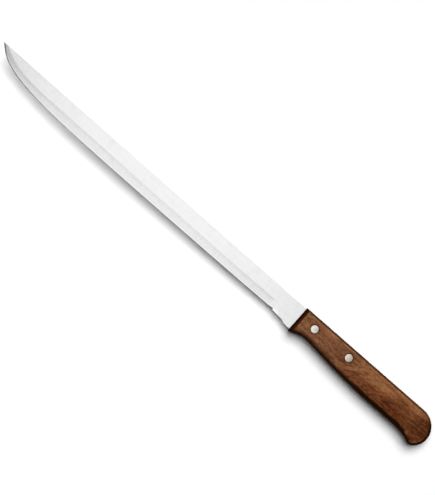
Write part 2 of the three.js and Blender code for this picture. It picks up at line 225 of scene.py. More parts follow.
def cut(body, cutters, operation="DIFFERENCE"):
    """The body's mesh after an exact Boolean with each cutter in turn; the cutters are thrown away."""
    for cutter in cutters:
        step = body.modifiers.new("cut", "BOOLEAN")
        step.solver = "EXACT"
        step.operation = operation
        step.object = cutter
        bpy.context.view_layer.update()
        evaluated = body.evaluated_get(bpy.context.evaluated_depsgraph_get())
        mesh = bpy.data.meshes.new_from_object(evaluated)
        body.modifiers.clear()
        body.data = mesh
        bpy.data.objects.remove(cutter)


def finish_piece(made, sharp_degrees, node):
    """Smooth shading broken at sharp edges; the piece rides on the knife and stands for one solid."""
    made.data.shade_smooth()
    made.data.set_sharp_from_angle(angle=math.radians(sharp_degrees))
    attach(made, "root")
    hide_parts(node)
    print(f"{made.name}: {len(made.data.vertices)} points, {len(made.data.polygons)} faces")


# %% [markdown]
# ## The blade's lower line
# The lower line starts at the handle as a blunt heel, is drawn in to a neck, steps up at a small notch
# where sharpening begins, and then runs as one long edge that swells slightly before it sweeps up to
# the point. It could be traced as a row of points, but six curves keep it smooth and easy to change.

# %% Lower line
SEAT_GAP = 0.1
HEEL_END_DEPTH, HEEL_STRAIGHT = 19.45, 4.1
NECK_AT, NECK_DEPTH, NECK_EASE = 10.6, 17.95, 0.5
EDGE_START, EDGE_STEP, EDGE_STEP_RUN = 18.95, 0.4, 0.4
HEEL_DEPTH = 16.9
EDGE_AIM_SHARE, EDGE_AIM_DEPTH = 0.2, 17.45
BELLY_DEPTH, BELLY_TO_POINT = 17.95, 115.0
BELLY_LEAD_SHARE, BELLY_AIM_SHARE = 0.45, 0.79
POINT_AIM_RUN, POINT_AIM_DEPTH = 13.0, 13.2

bend = (HEEL_STRAIGHT, HEEL_END_DEPTH)
neck = (NECK_AT, NECK_DEPTH)
notch = (EDGE_START, HEEL_DEPTH + EDGE_STEP)
edge_start = (EDGE_START + EDGE_STEP_RUN, HEEL_DEPTH)
belly = (BLADE_LENGTH - BELLY_TO_POINT, BELLY_DEPTH)
edge_run = belly[0] - edge_start[0]
edge_aim = (edge_start[0] + edge_run * EDGE_AIM_SHARE, EDGE_AIM_DEPTH)
belly_lead = (belly[0] - edge_run * BELLY_LEAD_SHARE, BELLY_DEPTH)
belly_aim = (belly[0] + BELLY_TO_POINT * BELLY_AIM_SHARE, BELLY_DEPTH)
point_aim = (BLADE_LENGTH - POINT_AIM_RUN, POINT_AIM_DEPTH)
lower_line = chain(
    bezier([(SEAT_GAP, HEEL_END_DEPTH), bend], count=6),
    eased(bend, neck, NECK_EASE, NECK_EASE, count=24),
    bezier([neck, notch], count=20),
    bezier([notch, edge_start], count=5),
    bezier([edge_start, edge_aim, belly_lead, belly], count=120),
    bezier([belly, belly_aim, point_aim, (BLADE_LENGTH, 0)], count=260),
)
print(f"lower line {len(lower_line)} points, deepest {lower_line[:, 1].max():.2f} mm")

# %% [markdown]
# ## The grind line
# The grind line is the arris where the flat side meets the hollow grind. It climbs out of the heel in a
# round as large as the wheel left it, runs level, and leaves over the spine near the point. Only the line
# is drawn: the surface below it follows by formula, so both stay in step.

# %% Grind line
GRIND_DEPTH, GRIND_RUN_OUT, GRIND_HEEL_ROUND = 10.0, 1.05, 7.3
GRIND_TURN_TO_POINT, GRIND_TURN_SHARE = 76.0, 0.52
GRIND_PAST_SPINE, GRIND_AIM_RUN, GRIND_AIM_RISE = 2.6, 15.0, 13.0

grind_heel = (EDGE_START + GRIND_RUN_OUT, GRIND_DEPTH)
grind_start = grind_heel[0] - GRIND_HEEL_ROUND
grind_turn = (BLADE_LENGTH - GRIND_TURN_TO_POINT, GRIND_DEPTH)
grind_lead = (grind_turn[0] + GRIND_TURN_TO_POINT * GRIND_TURN_SHARE, GRIND_DEPTH)
grind_end = (BLADE_LENGTH, -GRIND_PAST_SPINE)
grind_aim = (grind_end[0] - GRIND_AIM_RUN, grind_end[1] + GRIND_AIM_RISE)
grind_line = chain(
    bezier([(grind_start, HEEL_END_DEPTH), (grind_start, GRIND_DEPTH), grind_heel], count=60),
    bezier([grind_heel, grind_turn], count=4),
    bezier([grind_turn, grind_lead, grind_aim, grind_end], count=160),
)
print(f"grind line {len(grind_line)} points, level for {grind_turn[0] - grind_heel[0]:.0f} mm")

# %% [markdown]
# ## The hollow grind
# The blade is one sheet of steel, 2 mm thick at the spine. A grinding wheel leaves a hollow below the
# grind line: steep just under the arris and nearly flat towards the edge. A parabola has that shape, and
# a share of a straight wedge keeps enough steel behind the edge. Polishing has eased the arris, so there
# the thickness starts to fall a little above the line.

# %% Thickness by depth
GRIND_WIDTH = HEEL_DEPTH - GRIND_DEPTH
HOLLOWNESS, HALF_LAND, BEVEL_WIDTH = 0.7, 0.1, 0.4
ARRIS_EASE = 0.85


def half_thickness(depth, grind, width, run_out):
    """Full above the grind line; below it a parabola mixed with a straight wedge, which fades at the heel.
    Around the grind line the distance below it starts as a parabola too, so the arris is eased."""
    below = depth - grind
    eased_below = np.clip(below + ARRIS_EASE, 0, None) ** 2 / (4 * ARRIS_EASE)
    below = np.where(below < ARRIS_EASE, eased_below, below)
    share = np.clip(below / width, 0, 1)
    hollow = HOLLOWNESS * (1 - (1 - share) ** 2) + (1 - HOLLOWNESS) * share
    return HALF_BLADE + (HALF_LAND - HALF_BLADE) * hollow * run_out


halfway_down = half_thickness(GRIND_DEPTH + GRIND_WIDTH / 2, GRIND_DEPTH, GRIND_WIDTH - BEVEL_WIDTH, 1)
print(f"halfway down the hollow the blade is {2 * float(halfway_down):.2f} mm thick")

# %% [markdown]
# ## The blade
# The skin is a grid: stations along the lower line, and down each side rows for the broken spine
# corner, the flat, the eased arris, the hollow and the narrow bevel that is sharpened on a stone. The rows
# are spread anew at every station, so none is lost where the blade narrows to the point. A cut block
# would need far more faces for the same smooth arris.

# %% Blade surface
HALF_EDGE, SPINE_BREAK, HOLLOW_RUN_OUT = 0.02, 0.12, 12.0
FLAT_ROWS, ARRIS_ROWS, HOLLOW_ROWS, BEVEL_ROWS = 4, 8, 14, 2


def two_sided(x, down, out):
    """Rings that run down the far side and back up the near side of each station."""
    far = np.stack([np.broadcast_to(x, down.shape), down, -out], -1)
    near = np.stack([np.broadcast_to(x, down.shape), down, out], -1)
    return np.concatenate([far, near[::-1]]).transpose(1, 0, 2)


def blade_rings(x, depth):
    """Rows of a station: spine corner, flat to the grind line, hollow to the bevel, bevel to the edge."""
    grind = np.interp(x, grind_line[:, 0], grind_line[:, 1])
    wheel = np.clip((x - grind_start) / HOLLOW_RUN_OUT, 0, 1)
    run_out = wheel**2 * (3 - 2 * wheel)
    width = np.maximum(depth - grind, GRIND_WIDTH) - BEVEL_WIDTH
    land = half_thickness(depth - BEVEL_WIDTH, grind, width, run_out)
    bevel = np.minimum(BEVEL_WIDTH * np.sqrt(land / HALF_LAND), depth / 3)
    shoulder = depth - bevel
    corner = np.minimum(np.minimum(SPINE_BREAK, depth / 10), half_thickness(0, grind, width, run_out) / 2)
    flat_end = np.clip(grind - ARRIS_EASE, 2 * corner, shoulder - bevel / 2)
    arris_end = np.clip(grind + ARRIS_EASE, flat_end + bevel / 8, shoulder - bevel / 4)
    down = np.concatenate([
        np.zeros((1, len(x))),
        np.linspace(corner, flat_end, FLAT_ROWS, endpoint=False),
        np.linspace(flat_end, arris_end, ARRIS_ROWS, endpoint=False),
        np.linspace(arris_end, shoulder, HOLLOW_ROWS, endpoint=False),
        np.linspace(shoulder, depth, BEVEL_ROWS + 1),
    ])
    out = half_thickness(down, grind, width, run_out)
    out[0] -= corner
    sharp = x > EDGE_START
    edge = np.where(sharp, HALF_EDGE, out[-1])
    out[-BEVEL_ROWS - 1:] = np.linspace(out[-BEVEL_ROWS - 1], edge, BEVEL_ROWS + 1)
    ground = np.clip((down - grind) / np.maximum(shoulder - grind, BEVEL_WIDTH), 0, 1)
    ground[-BEVEL_ROWS - 1:] += np.linspace(0, 1, BEVEL_ROWS + 1)[:, None] * sharp
    return two_sided(x, down, out), np.concatenate([ground, ground[::-1]]).T


blade_part, ground_share = blade_rings(*lower_line[:-1].T)
blade = make_object("ground_blade", *skin(blade_part, last_point=(BLADE_LENGTH, 0, 0)))
print(f"blade: {blade_part.shape[0]} stations of {blade_part.shape[1]} points")

# %% [markdown]
# The grinding marks follow the surface, so each point of the skin also carries how far down the hollow
# it lies: 0 at the grind line, 1 where the sharpened bevel begins and 2 at the very edge. The shader
# reads that number as an attribute.

# %% How far down the hollow each point lies
SHARE_AT_POINT = 2.0
shares = np.append(ground_share.ravel(), SHARE_AT_POINT)
ground = blade.data.attributes.new("ground", "FLOAT", "POINT")
ground.data.foreach_set("value", shares.astype(np.float32))
print(f"{(shares > 0).mean():.0%} of the blade's points lie below the grind line")

# %% [markdown]
# ## Rivet places
# Two rivets hold the tang in the handle. Their places could be measured again, but each solid rivet half
# already has them: the middle of its box is the rivet's axis, and half the box's width is the radius of
# the head.

# %% Where the rivets are


def rivet_place(which):
    """Centre of a rivet on the drawing and the radius of its head, from the box of its solid."""
    low, high = (np.array(corner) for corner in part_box(f"{which}_rivet_post"))
    centre = ((low + high) / 2 - DRAWING_ORIGIN) / MM
    return centre[:2], (high[0] - low[0]) / MM / 2


rivets = {which: rivet_place(which) for which in ("front", "rear")}
for which, (centre, radius) in rivets.items():
    print(f"{which} rivet {-centre[0]:.1f} mm behind the front, {2 * radius:.1f} mm across")

# %% [markdown]
# ## The tang
# The tang is the end of the same sheet, left plain and hidden in the handle, with one round corner. It is a
# slab that laps into the blade and is joined to it, and then drilled for each rivet's tube, as the real
# one is. A Boolean makes both, because the drilled edge has to be clean.

# %% Tang with its two holes
TANG_DEPTH, TANG_CORNER, TANG_OVERLAP = 14.6, 4.0, 2.05
RIVET_HOLE_RADIUS, HOLE_REACH = 2.3, 2.0
TANG_CORNER_POINTS, BLADE_SHARP_DEGREES = 14, 7


def tang_corner(end, bottom):
    """The round lower corner at the tang's end, as a curve with three corners."""
    corners = [(end, bottom - TANG_CORNER), (end, bottom), (end + TANG_CORNER, bottom)]
    return bezier(corners, TANG_CORNER_POINTS)


tang_line = np.vstack([tang_corner(-TANG_LENGTH, TANG_DEPTH), (TANG_OVERLAP, TANG_DEPTH)])
drill = [(0, -HOLE_REACH), (RIVET_HOLE_RADIUS, -HOLE_REACH)]
drill += [(RIVET_HOLE_RADIUS, HOLE_REACH), (0, HOLE_REACH)]
holes = [make_object("hole", *turned(drill, centre)) for centre, _ in rivets.values()]
tang = make_object("tang", *slab(tang_line, SPINE_BREAK, -HALF_BLADE, HALF_BLADE))
cut(blade, [tang], "UNION")
cut(blade, holes)
finish_piece(blade, BLADE_SHARP_DEGREES, "blade")

# %% [markdown]
# ## The handle's butt and back
# Seen from its side, the handle has a straight back that rises a little towards the butt, and an oval butt.
# Two ovals meet at the rear: a long one falls from the back, and a rounder one runs on below. Ovals are
# formulas of sine and cosine, so no points have to be listed.

# %% Butt and back
BACK_PROUD = 0.8
BUTT_SHOULDER, BUTT_REAR_DROP = 15.65, 15.2
BUTT_ROUND, BUTT_DEPTH, BEAK_TO_BUTT = 12.45, 27.9, 6.0
OVAL_POINTS = 101
SHOULDER_AT = BUTT_SHOULDER - HANDLE_LENGTH
OVAL_CENTRE = np.array([BUTT_ROUND - HANDLE_LENGTH, BACK_AT_BUTT + BUTT_REAR_DROP])
OVAL_RADII = np.array([BUTT_ROUND, BUTT_DEPTH - BUTT_REAR_DROP])


def oval_butt():
    """Lower part of the oval: centre plus radius times cosine and sine, from the rear to the hook. The
    points lie between equal steps, so that none lies on the rear's own line."""
    last = math.pi - math.acos((BUTT_ROUND - BEAK_TO_BUTT) / BUTT_ROUND)
    angle = np.linspace(math.pi, last, OVAL_POINTS)
    angle = (angle[1:] + angle[:-1]) / 2
    angle[-1] = last
    heading = OVAL_RADII * (math.sin(last), -math.cos(last))
    oval = OVAL_CENTRE + OVAL_RADII * np.column_stack([np.cos(angle), np.sin(angle)])
    return oval, heading / np.hypot(*heading)


def back_line(x):
    """Depth of the back: a straight rise towards the butt, then a quarter of a longer oval."""
    straight = -BACK_PROUD + (BACK_AT_BUTT + BACK_PROUD) * np.clip(x / SHOULDER_AT, 0, 1)
    share = np.clip((x - SHOULDER_AT) / BUTT_SHOULDER, -1, 0)
    return straight + BUTT_REAR_DROP * (1 - np.sqrt(1 - share**2))


butt, heading = oval_butt()
print(f"butt {len(butt)} points, down to {butt[:, 1].max():.2f} mm")

# %% [markdown]
# ## The handle's outline
# Below, the oval ends in a hooked corner that keeps the hand from slipping off. From there the line rises
# to a full belly for the palm and a waist for the first finger, and flares again at the front. Curves
# joined end to end give that line, and the back's formula gives the point above each of its points. The
# front is drawn too long, because its end is shaped later.

# %% Handle outline
BEAK_ANGLE, BEAK_PULL, BEAK_FULLNESS = math.radians(27), 8.5, 1.14
EDGE_ROUND = 3.4
PALM_TO_BUTT, PALM_DEPTH, PALM_AIM_SHARE = 46.4, 21.85, 0.53
WAIST_AT, WAIST_DEPTH = 13.4, 17.65
PALM_LEAVE, WAIST_ARRIVE, WAIST_LEAVE, FRONT_ARRIVE = 0.55, 0.15, 0.45, 0.25
FRONT_DEPTH, SPARE = 21.45, 6.4


def hooked_corner(oval_end, heading):
    """The corner between the oval's heading and the belly's rise, reaching equally far along both."""
    rise = np.array([math.cos(BEAK_ANGLE), -math.sin(BEAK_ANGLE)])
    half_turn = math.acos(heading @ rise) / 2
    reach = BEAK_FULLNESS * EDGE_ROUND * math.tan(half_turn) / math.cos(half_turn)
    beak = oval_end + heading * reach
    return beak, beak + rise * reach, beak + rise * (reach + BEAK_PULL)


beak, beak_end, beak_aim = hooked_corner(butt[-1], heading)
palm = (PALM_TO_BUTT - HANDLE_LENGTH, PALM_DEPTH)
palm_aim = (palm[0] + (beak_end[0] - palm[0]) * PALM_AIM_SHARE, PALM_DEPTH)
waist = (-WAIST_AT, WAIST_DEPTH)
front = (0, FRONT_DEPTH)
belly_line = chain(
    butt,
    bezier([butt[-1], beak, beak_end], count=40),
    bezier([beak_end, beak_aim, palm_aim, palm], count=90),
    eased(palm, waist, PALM_LEAVE, WAIST_ARRIVE, count=120),
    eased(waist, front, WAIST_LEAVE, FRONT_ARRIVE, count=50),
    bezier([front, (SPARE, FRONT_DEPTH)], count=3),
)
stations = belly_line[::-1, 0]
handle_outline = np.vstack([np.column_stack([stations, back_line(stations)]), belly_line])
print(f"handle outline {len(handle_outline)} points, down to {handle_outline[:, 1].max():.2f} mm")

# %% [markdown]
# ## The handle's block
# On the bench a round-over bit is run along both sides of the sawn block. The skin does the same: a
# profile of two quarter rounds with a straight wall between them is carried along the outline, each
# of its points set in from the outline by its own distance. A Bevel modifier would round the edge too, but
# it stumbles at the tight hooked corner. One more ring a little further in keeps the flat sides flat.

# %% Rounded block
ROUND_STEPS, FLAT_MARGIN = 12, 0.3


def inward(outline):
    """Mitred inward normals: both neighbouring edges move in by the same distance."""
    step = np.roll(outline, -1, 0) - outline
    step /= np.linalg.norm(step, axis=1)[:, None]
    normal = np.column_stack([step[:, 1], -step[:, 0]])
    before = np.roll(normal, 1, 0)
    return (normal + before) / (1 + (normal * before).sum(1))[:, None]


def rounded_block(outline, half, radius):
    """Outline set in by radius times 1 - cosine, at heights that follow radius times sine."""
    turn = np.linspace(0, math.pi / 2, ROUND_STEPS + 1)
    inset = np.append(radius * (1 - np.cos(turn)), radius + FLAT_MARGIN)
    height = np.append(half - radius + radius * np.sin(turn), half)
    profile = np.column_stack([inset, height])
    profile = np.vstack([profile[::-1] * (1, -1), profile])
    flat = outline + profile[:, :1, None] * inward(outline)
    out = np.broadcast_to(profile[:, 1:, None], (*flat.shape[:2], 1))
    return skin(np.concatenate([flat, out], -1))


block = rounded_block(handle_outline, HALF_HANDLE, EDGE_ROUND)
handle = make_object("wooden_handle", *block)
print(f"block of {abs(volume(*block)) / 1000:.1f} cubic centimetres")

# %% [markdown]
# ## The handle's front, slot and bores
# Three cuts finish the block. The front end is bevelled in a soft curve on both sides. A saw slot,
# open at the front and along the back, takes the tang. Each rivet has a stepped bore, wide for the
# heads and narrow for the tube. Blender's Boolean makes the cuts, as tools do on the bench.

# %% Shapes of the cuts
NOSE_RUN, NOSE_DROP, NOSE_LEAN, NOSE_POINTS = 3.2, 4.0, 0.3, 20
SLOT_CLEARANCE, HEAD_CLEARANCE = 0.15, 0.1
HEAD_THICKNESS, RIM_BREAK = 1.5, 0.12
BEYOND = 40.0


def nose_keep():
    """What the bevelled front leaves, seen from the back and carried down through the handle."""
    lip = (0, HALF_HANDLE - NOSE_DROP)
    aim = (-NOSE_RUN * NOSE_LEAN, HALF_HANDLE - NOSE_DROP * NOSE_LEAN)
    side = (-NOSE_RUN, HALF_HANDLE)
    around = [(-HANDLE_LENGTH - BEYOND, BEYOND), (-NOSE_RUN, BEYOND)]
    curve = np.vstack([around, bezier([side, aim, lip], NOSE_POINTS)])
    outline = np.vstack([curve, curve[::-1] * (1, -1)])
    rings = [np.insert(outline, 1, down, axis=1) for down in (-BEYOND, BEYOND)]
    return skin(np.array(rings))


def tang_slot():
    """The tang's outline with its clearance, open at the front and the back, as wide as the sheet."""
    bottom = TANG_DEPTH + SLOT_CLEARANCE
    corner = tang_corner(-TANG_LENGTH - SLOT_CLEARANCE, bottom)
    half = HALF_BLADE + SLOT_CLEARANCE
    return slab(np.vstack([corner, (BEYOND, bottom)]), -BEYOND, -half, half)


def rivet_bore(place, head_radius):
    """A stepped hole with a broken rim: head, tube, head."""
    wide, floor = head_radius + HEAD_CLEARANCE, HALF_HANDLE - HEAD_THICKNESS - HEAD_CLEARANCE
    half = [(RIVET_HOLE_RADIUS, floor), (wide, floor), (wide, HALF_HANDLE - RIM_BREAK),
            (wide + RIM_BREAK, HALF_HANDLE), (wide + 2 * RIM_BREAK, HALF_HANDLE + RIM_BREAK),
            (0, HALF_HANDLE + RIM_BREAK)]
    return turned([(radius, -height) for radius, height in half[::-1]] + half, place)


slot_width = 2 * (HALF_BLADE + SLOT_CLEARANCE)
print(f"slot {slot_width:.1f} mm wide for a tang of {2 * HALF_BLADE:.1f} mm")

# %% [markdown]
# The block is first kept inside the bevelled front, which also takes off its spare length, and then the
# slot and both bores come out of it.

# %% Cuts in the block
HANDLE_SHARP_DEGREES = 20
cut(handle, [make_object("nose", *nose_keep())], "INTERSECT")
slot = make_object("slot", *tang_slot())
bores = [make_object("bore", *rivet_bore(*rivet)) for rivet in rivets.values()]
cut(handle, [slot, *bores])
finish_piece(handle, HANDLE_SHARP_DEGREES, "handle")

# %% [markdown]
# ## The rivets
# A cutler's rivet is two turned halves pressed together from both sides: a pin under a head, and a
# tube on a head. The heads are ground nearly flush, with a shallow dome and a broken rim. Each half
# is a profile turned round the rivet's axis, as it is on a lathe, so a Boolean isn't needed even for the
# tube.

# %% Rivet halves
CROWN, RIM, DOME_POINTS = 0.1, 0.25, 16
POST_RADIUS, POST_TAPER = 1.5, 0.4
TUBE_BORE, TUBE_RADIUS, END_GAP = 1.6, 2.2, 0.3
HEAD_SEAT = HALF_HANDLE - HEAD_THICKNESS
RIVET_SHARP_DEGREES = 30


def head_profile(radius):
    """Up the head's wall, over its broken rim, and along a parabola to the top of the dome."""
    share = np.linspace(1, 0, DOME_POINTS)[:, None]
    dome = np.hstack([(radius - RIM) * share, HALF_HANDLE - CROWN * share**2])
    wall = [(radius, HEAD_SEAT), (radius, HALF_HANDLE - CROWN - RIM)]
    return np.vstack([wall, dome])


def pin_half(place, radius):
    """The solid half, in from the near side."""
    end = END_GAP - HEAD_SEAT
    tip = [(0, end), (POST_RADIUS - POST_TAPER, end), (POST_RADIUS, end + POST_TAPER)]
    return turned(np.vstack([tip, (POST_RADIUS, HEAD_SEAT), head_profile(radius)]), place)


def tube_half(place, radius):
    """The hollow half, in from the far side."""
    mouth = HEAD_SEAT - END_GAP
    outside = [(TUBE_RADIUS, -HEAD_SEAT), (TUBE_RADIUS, mouth)]
    inside = [(TUBE_BORE, mouth), (TUBE_BORE, -HEAD_SEAT), (0, -HEAD_SEAT)]
    return turned(np.vstack([head_profile(radius)[::-1] * (1, -1), outside, inside]), place)


rivet_pieces = []
for which, (centre, radius) in rivets.items():
    for half, shape, node in (("pin", pin_half, "post"), ("tube", tube_half, "sleeve")):
        piece = make_object(f"{which}_rivet_{half}", *shape(centre, radius))
        finish_piece(piece, RIVET_SHARP_DEGREES, f"{which}_rivet_{node}")
        rivet_pieces.append(piece)

# %% [markdown]
# ## Finishes made of nodes
# A finish is a tree of shader nodes. A painted picture would show its pixels up close and would have to be
# wrapped round every piece, while formulas in nodes sit in the piece and show the same from every side.
# Colours are given as a screen shows them and turned into the linear light that shaders reckon with.

# %% Colours and nodes


def seen(red, green, blue):
    """A display colour from 0 to 255 as linear light: a straight line if very dark, else a power of 2.4."""
    share = np.array([red, green, blue]) / 255
    linear = np.where(share <= 0.04045, share / 12.92, ((share + 0.055) / 1.055) ** 2.4)
    return (*linear.tolist(), 1.0)


def add(tree, kind, sockets, **settings):
    """A node of one kind. Each socket, by name or number, is set to a value or joined to an output."""
    node = tree.nodes.new("ShaderNode" + kind)
    for name, value in settings.items():
        setattr(node, name, value)
    for name, value in sockets.items():
        if isinstance(value, bpy.types.NodeSocket):
            tree.links.new(value, node.inputs[name])
        else:
            node.inputs[name].default_value = value
    return node


print(f"a grey of 128 on the screen is {seen(128, 128, 128)[0]:.3f} of the light of white")

# %% [markdown]
# Most of a finish is arithmetic on numbers that differ from point to point. Products, the largest of
# several shares, and shares that rise smoothly from one place to another are enough for nearly all of it,
# so each has a helper, and the trees below read like sentences.

# %% Arithmetic with nodes
FADING = (1.0, 0.0)


def calculate(tree, operation, *values, clamp=False):
    """One step of arithmetic on numbers or outputs."""
    return add(tree, "Math", dict(enumerate(values)), operation=operation, use_clamp=clamp).outputs[0]


def product(tree, value, *others):
    """Values multiplied one after another."""
    for other in others:
        value = calculate(tree, "MULTIPLY", value, other)
    return value


def largest(tree, value, *others):
    """The largest of several values."""
    for other in others:
        value = calculate(tree, "MAXIMUM", value, other)
    return value


def sway(tree, value, pattern, amount, clamp=False):
    """A value plus an amount times how far a pattern lies from its middle, which is a half."""
    around = calculate(tree, "SUBTRACT", pattern, 0.5)
    return calculate(tree, "MULTIPLY_ADD", around, amount, value, clamp=clamp)


def between(tree, value, span, ends=(0.0, 1.0)):
    """A number taken from a span to two end values, smooth at both ends and held outside the span."""
    sockets = {"Value": value, "From Min": span[0], "From Max": span[1]}
    sockets |= {"To Min": ends[0], "To Max": ends[1]}
    return add(tree, "MapRange", sockets, interpolation_type="SMOOTHSTEP").outputs[0]


quarter = 0.25
print(f"a quarter of the way along a span, a smooth share is {quarter**2 * (3 - 2 * quarter):.2f}")

# %% [markdown]
# Colours are mixed by such shares, or looked up along a run of colours. All patterns are noise, stretched to
# the size of the real marks. Every finish starts from the same empty tree, with a surface shader and the
# drawing's millimetres to place patterns by, and ends with a colour, a roughness and a very fine bump.

# %% Colour, noise and surface


def blend(tree, share, first, second, how="MIX"):
    """Two colours mixed by a share."""
    return add(tree, "Mix", {0: share, 6: first, 7: second}, data_type="RGBA", blend_type=how).outputs[2]


def ramp(tree, value, stops):
    """A run of colours: each stop is a place from 0 to 1 and a linear colour."""
    node = add(tree, "ValToRGB", {0: value})
    for _ in stops[2:]:
        node.color_ramp.elements.new(0.5)
    for element, (place, colour) in zip(node.color_ramp.elements, stops):
        element.position = place
        element.color = colour
    return node.outputs[0]


def noise(tree, place, size, detail=3.0, roughness=0.5, turn=0.0):
    """Cloudy noise whose features have a size in millimetres along each axis, turned in the side view."""
    sockets = {"Vector": place, "Scale": size, "Rotation": (0, 0, math.radians(turn))}
    mapped = add(tree, "Mapping", sockets, vector_type="TEXTURE")
    sockets = {"Vector": mapped.outputs[0], "Scale": 1.0, "Detail": detail, "Roughness": roughness}
    return add(tree, "TexNoise", sockets)


def new_finish(name):
    """An empty node tree with a surface shader, and drawing millimetres to place patterns by."""
    material = bpy.data.materials.new(name)
    material.use_nodes = True
    tree = material.node_tree
    tree.nodes.clear()
    surface = add(tree, "BsdfPrincipled", {})
    add(tree, "OutputMaterial", {"Surface": surface.outputs[0]})
    coordinates = add(tree, "TexCoord", {}).outputs["Object"]
    offset = tuple(-DRAWING_ORIGIN / MM)
    place = add(tree, "Mapping", {"Vector": coordinates, "Scale": (1 / MM,) * 3, "Location": offset})
    return material, tree, surface, place.outputs[0]


def lay_on(tree, surface, colour, lines, roughness, height, strength, depth):
    """Joins a colour, a roughness that follows fine lines, and a bump whose depth is in millimetres."""
    rough = add(tree, "MapRange", {"Value": lines, "To Min": roughness[0], "To Max": roughness[1]})
    bump = add(tree, "Bump", {"Strength": strength, "Distance": depth * MM, "Height": height})
    outputs = {"Base Color": colour, "Roughness": rough.outputs[0], "Normal": bump.outputs[0]}
    for name, output in outputs.items():
        tree.links.new(output, surface.inputs[name])


def dress(pieces, material):
    """Gives pieces a finish in place of any that they have."""
    for piece in pieces:
        piece.data.materials.clear()
        piece.data.materials.append(material)
    names = ", ".join(piece.name for piece in pieces)
    print(f"{material.name}: {len(material.node_tree.nodes)} nodes, on {names}")


print("patterns start", (-DRAWING_ORIGIN / MM).round(1).tolist(), "mm from the frame's origin")

# %% [markdown]
# ## Steel
# The flats are bright and satin, with faint lines along the blade from the polishing belt. The hollow is
# ground across the blade, so its fine lines run from the grind line to the edge, and it is a little greyer
# and grittier. The attribute stored on the skin tells the shader which of the two it is on. Noise that is
# drawn out along one axis makes such lines, and it has no seams.

# %% Grinding marks
FLAT_STEEL, HOLLOW_STEEL, GREY_STEEL = seen(246, 246, 246), seen(242, 242, 242), seen(225, 225, 226)
BELT_LINES, WHEEL_LINES = (20, 0.17, 0.17), (0.25, 8, 8)
WEAR_CLOUDS, CLOUD_WEAR, WEAR_SPAN, WEAR = (4, 10, 10), 0.5, (0.7, 1.1), 0.5
GRIT_GRAINS, GRIT_SPAN, GRIT = (1.2, 2.2, 2.2), (0.35, 0.65), 0.36


def grinding_lines(tree, place, on_hollow):
    """Noise drawn out along the blade on the flats and across it in the hollow."""
    belt = noise(tree, place, BELT_LINES, detail=4).outputs[0]
    wheel = noise(tree, place, WHEEL_LINES, detail=4).outputs[0]
    return add(tree, "Mix", {0: on_hollow, 2: belt, 3: wheel}).outputs[0]


def worn_steel(tree, place, on_hollow, lines):
    """The colours of flat and hollow, greyer along the lines and in clouds, and gritty in the hollow."""
    cloud = noise(tree, place, WEAR_CLOUDS, detail=2).outputs[0]
    worn = between(tree, calculate(tree, "MULTIPLY_ADD", cloud, CLOUD_WEAR, lines), WEAR_SPAN)
    colour = blend(tree, on_hollow, FLAT_STEEL, HOLLOW_STEEL)
    colour = blend(tree, product(tree, worn, WEAR), colour, GREY_STEEL)
    grit = between(tree, noise(tree, place, GRIT_GRAINS, detail=3).outputs[0], GRIT_SPAN)
    return blend(tree, product(tree, grit, on_hollow, GRIT), colour, GREY_STEEL)


print(f"belt lines {BELT_LINES[1]} mm wide, wheel lines {WHEEL_LINES[0]} mm wide")

# %% [markdown]
# Along its length the ground steel is painted with light and shade. Just below the grind line a paler crest
# runs over the middle of the blade, and near the point the hollow is brighter: both are painted reflection.
# The sharpened bevel is painted dark as painted shade, most of all at the heel and near the point, with a
# painted highlight line above it. The rim of the point itself is painted darker still, as painted shade.
# Each is one more colour, laid over the others by its share.

# %% Ground steel
# Painted reflection, painted highlight and painted shade on the ground steel
BRIGHT_REFLECTION_STEEL, EDGE_HIGHLIGHT_STEEL = seen(254, 254, 254), seen(252, 252, 252)
SHADED_BEVEL_STEEL, SHADED_HEEL_BEVEL_STEEL, SHADED_POINT_STEEL = seen(160, 160, 162), seen(112, 112, 114), seen(96, 96, 98)
# Millimetres in front of the handle
CREST_STARTS, CREST_ENDS, CREST = (25.0, 50.0), (145.0, 190.0), 0.45
PALE_BEVEL_STARTS, PALE_BEVEL_ENDS = (50.0, 165.0), (235.0, 260.0)
BRIGHTER_TIP_FROM, RIM_FROM = (264.0, 284.0), (289.0, 299.0)
# Shares of the way down the hollow
HOLLOW_STARTS, CREST_DOWN, RIM_DOWN = (0.0, 0.02), (0.03, 0.24), (0.6, 1.0)
EDGE_HIGHLIGHT_DOWN, BEVEL_DOWN = (0.86, 0.98), (1.05, 1.25)
STEEL_ROUGHNESS, STEEL_BUMP, STEEL_BUMP_DEPTH = (0.18, 0.3), 0.25, 0.01


def along_the_blade(tree, place, hollow, on_hollow, colour):
    """Painted reflection on the crest and near the point, a painted highlight above the bevel, painted shade
    on the bevel and the point's rim: each a product of shares along and down the blade.
    """
    x = add(tree, "SeparateXYZ", {0: place}).outputs[0]
    # painted lighter reflection on the crest and in the hollow near the point
    crest = product(tree, between(tree, x, CREST_STARTS), between(tree, x, CREST_ENDS, (CREST, 0.0)),
                    between(tree, hollow, CREST_DOWN, FADING), on_hollow)
    colour = blend(tree, crest, colour, BRIGHT_REFLECTION_STEEL)
    brighter_tip = product(tree, on_hollow, between(tree, x, BRIGHTER_TIP_FROM))
    colour = blend(tree, brighter_tip, colour, BRIGHT_REFLECTION_STEEL)
    # painted highlight line above the bevel, then painted shade on the bevel and on the point's rim
    colour = blend(tree, between(tree, hollow, EDGE_HIGHLIGHT_DOWN), colour, EDGE_HIGHLIGHT_STEEL)
    paler = product(tree, between(tree, x, PALE_BEVEL_STARTS), between(tree, x, PALE_BEVEL_ENDS, FADING))
    bevel = blend(tree, paler, SHADED_HEEL_BEVEL_STEEL, SHADED_BEVEL_STEEL)
    colour = blend(tree, between(tree, hollow, BEVEL_DOWN), colour, bevel)
    rim = product(tree, between(tree, hollow, RIM_DOWN), between(tree, x, RIM_FROM))
    return blend(tree, rim, colour, SHADED_POINT_STEEL)


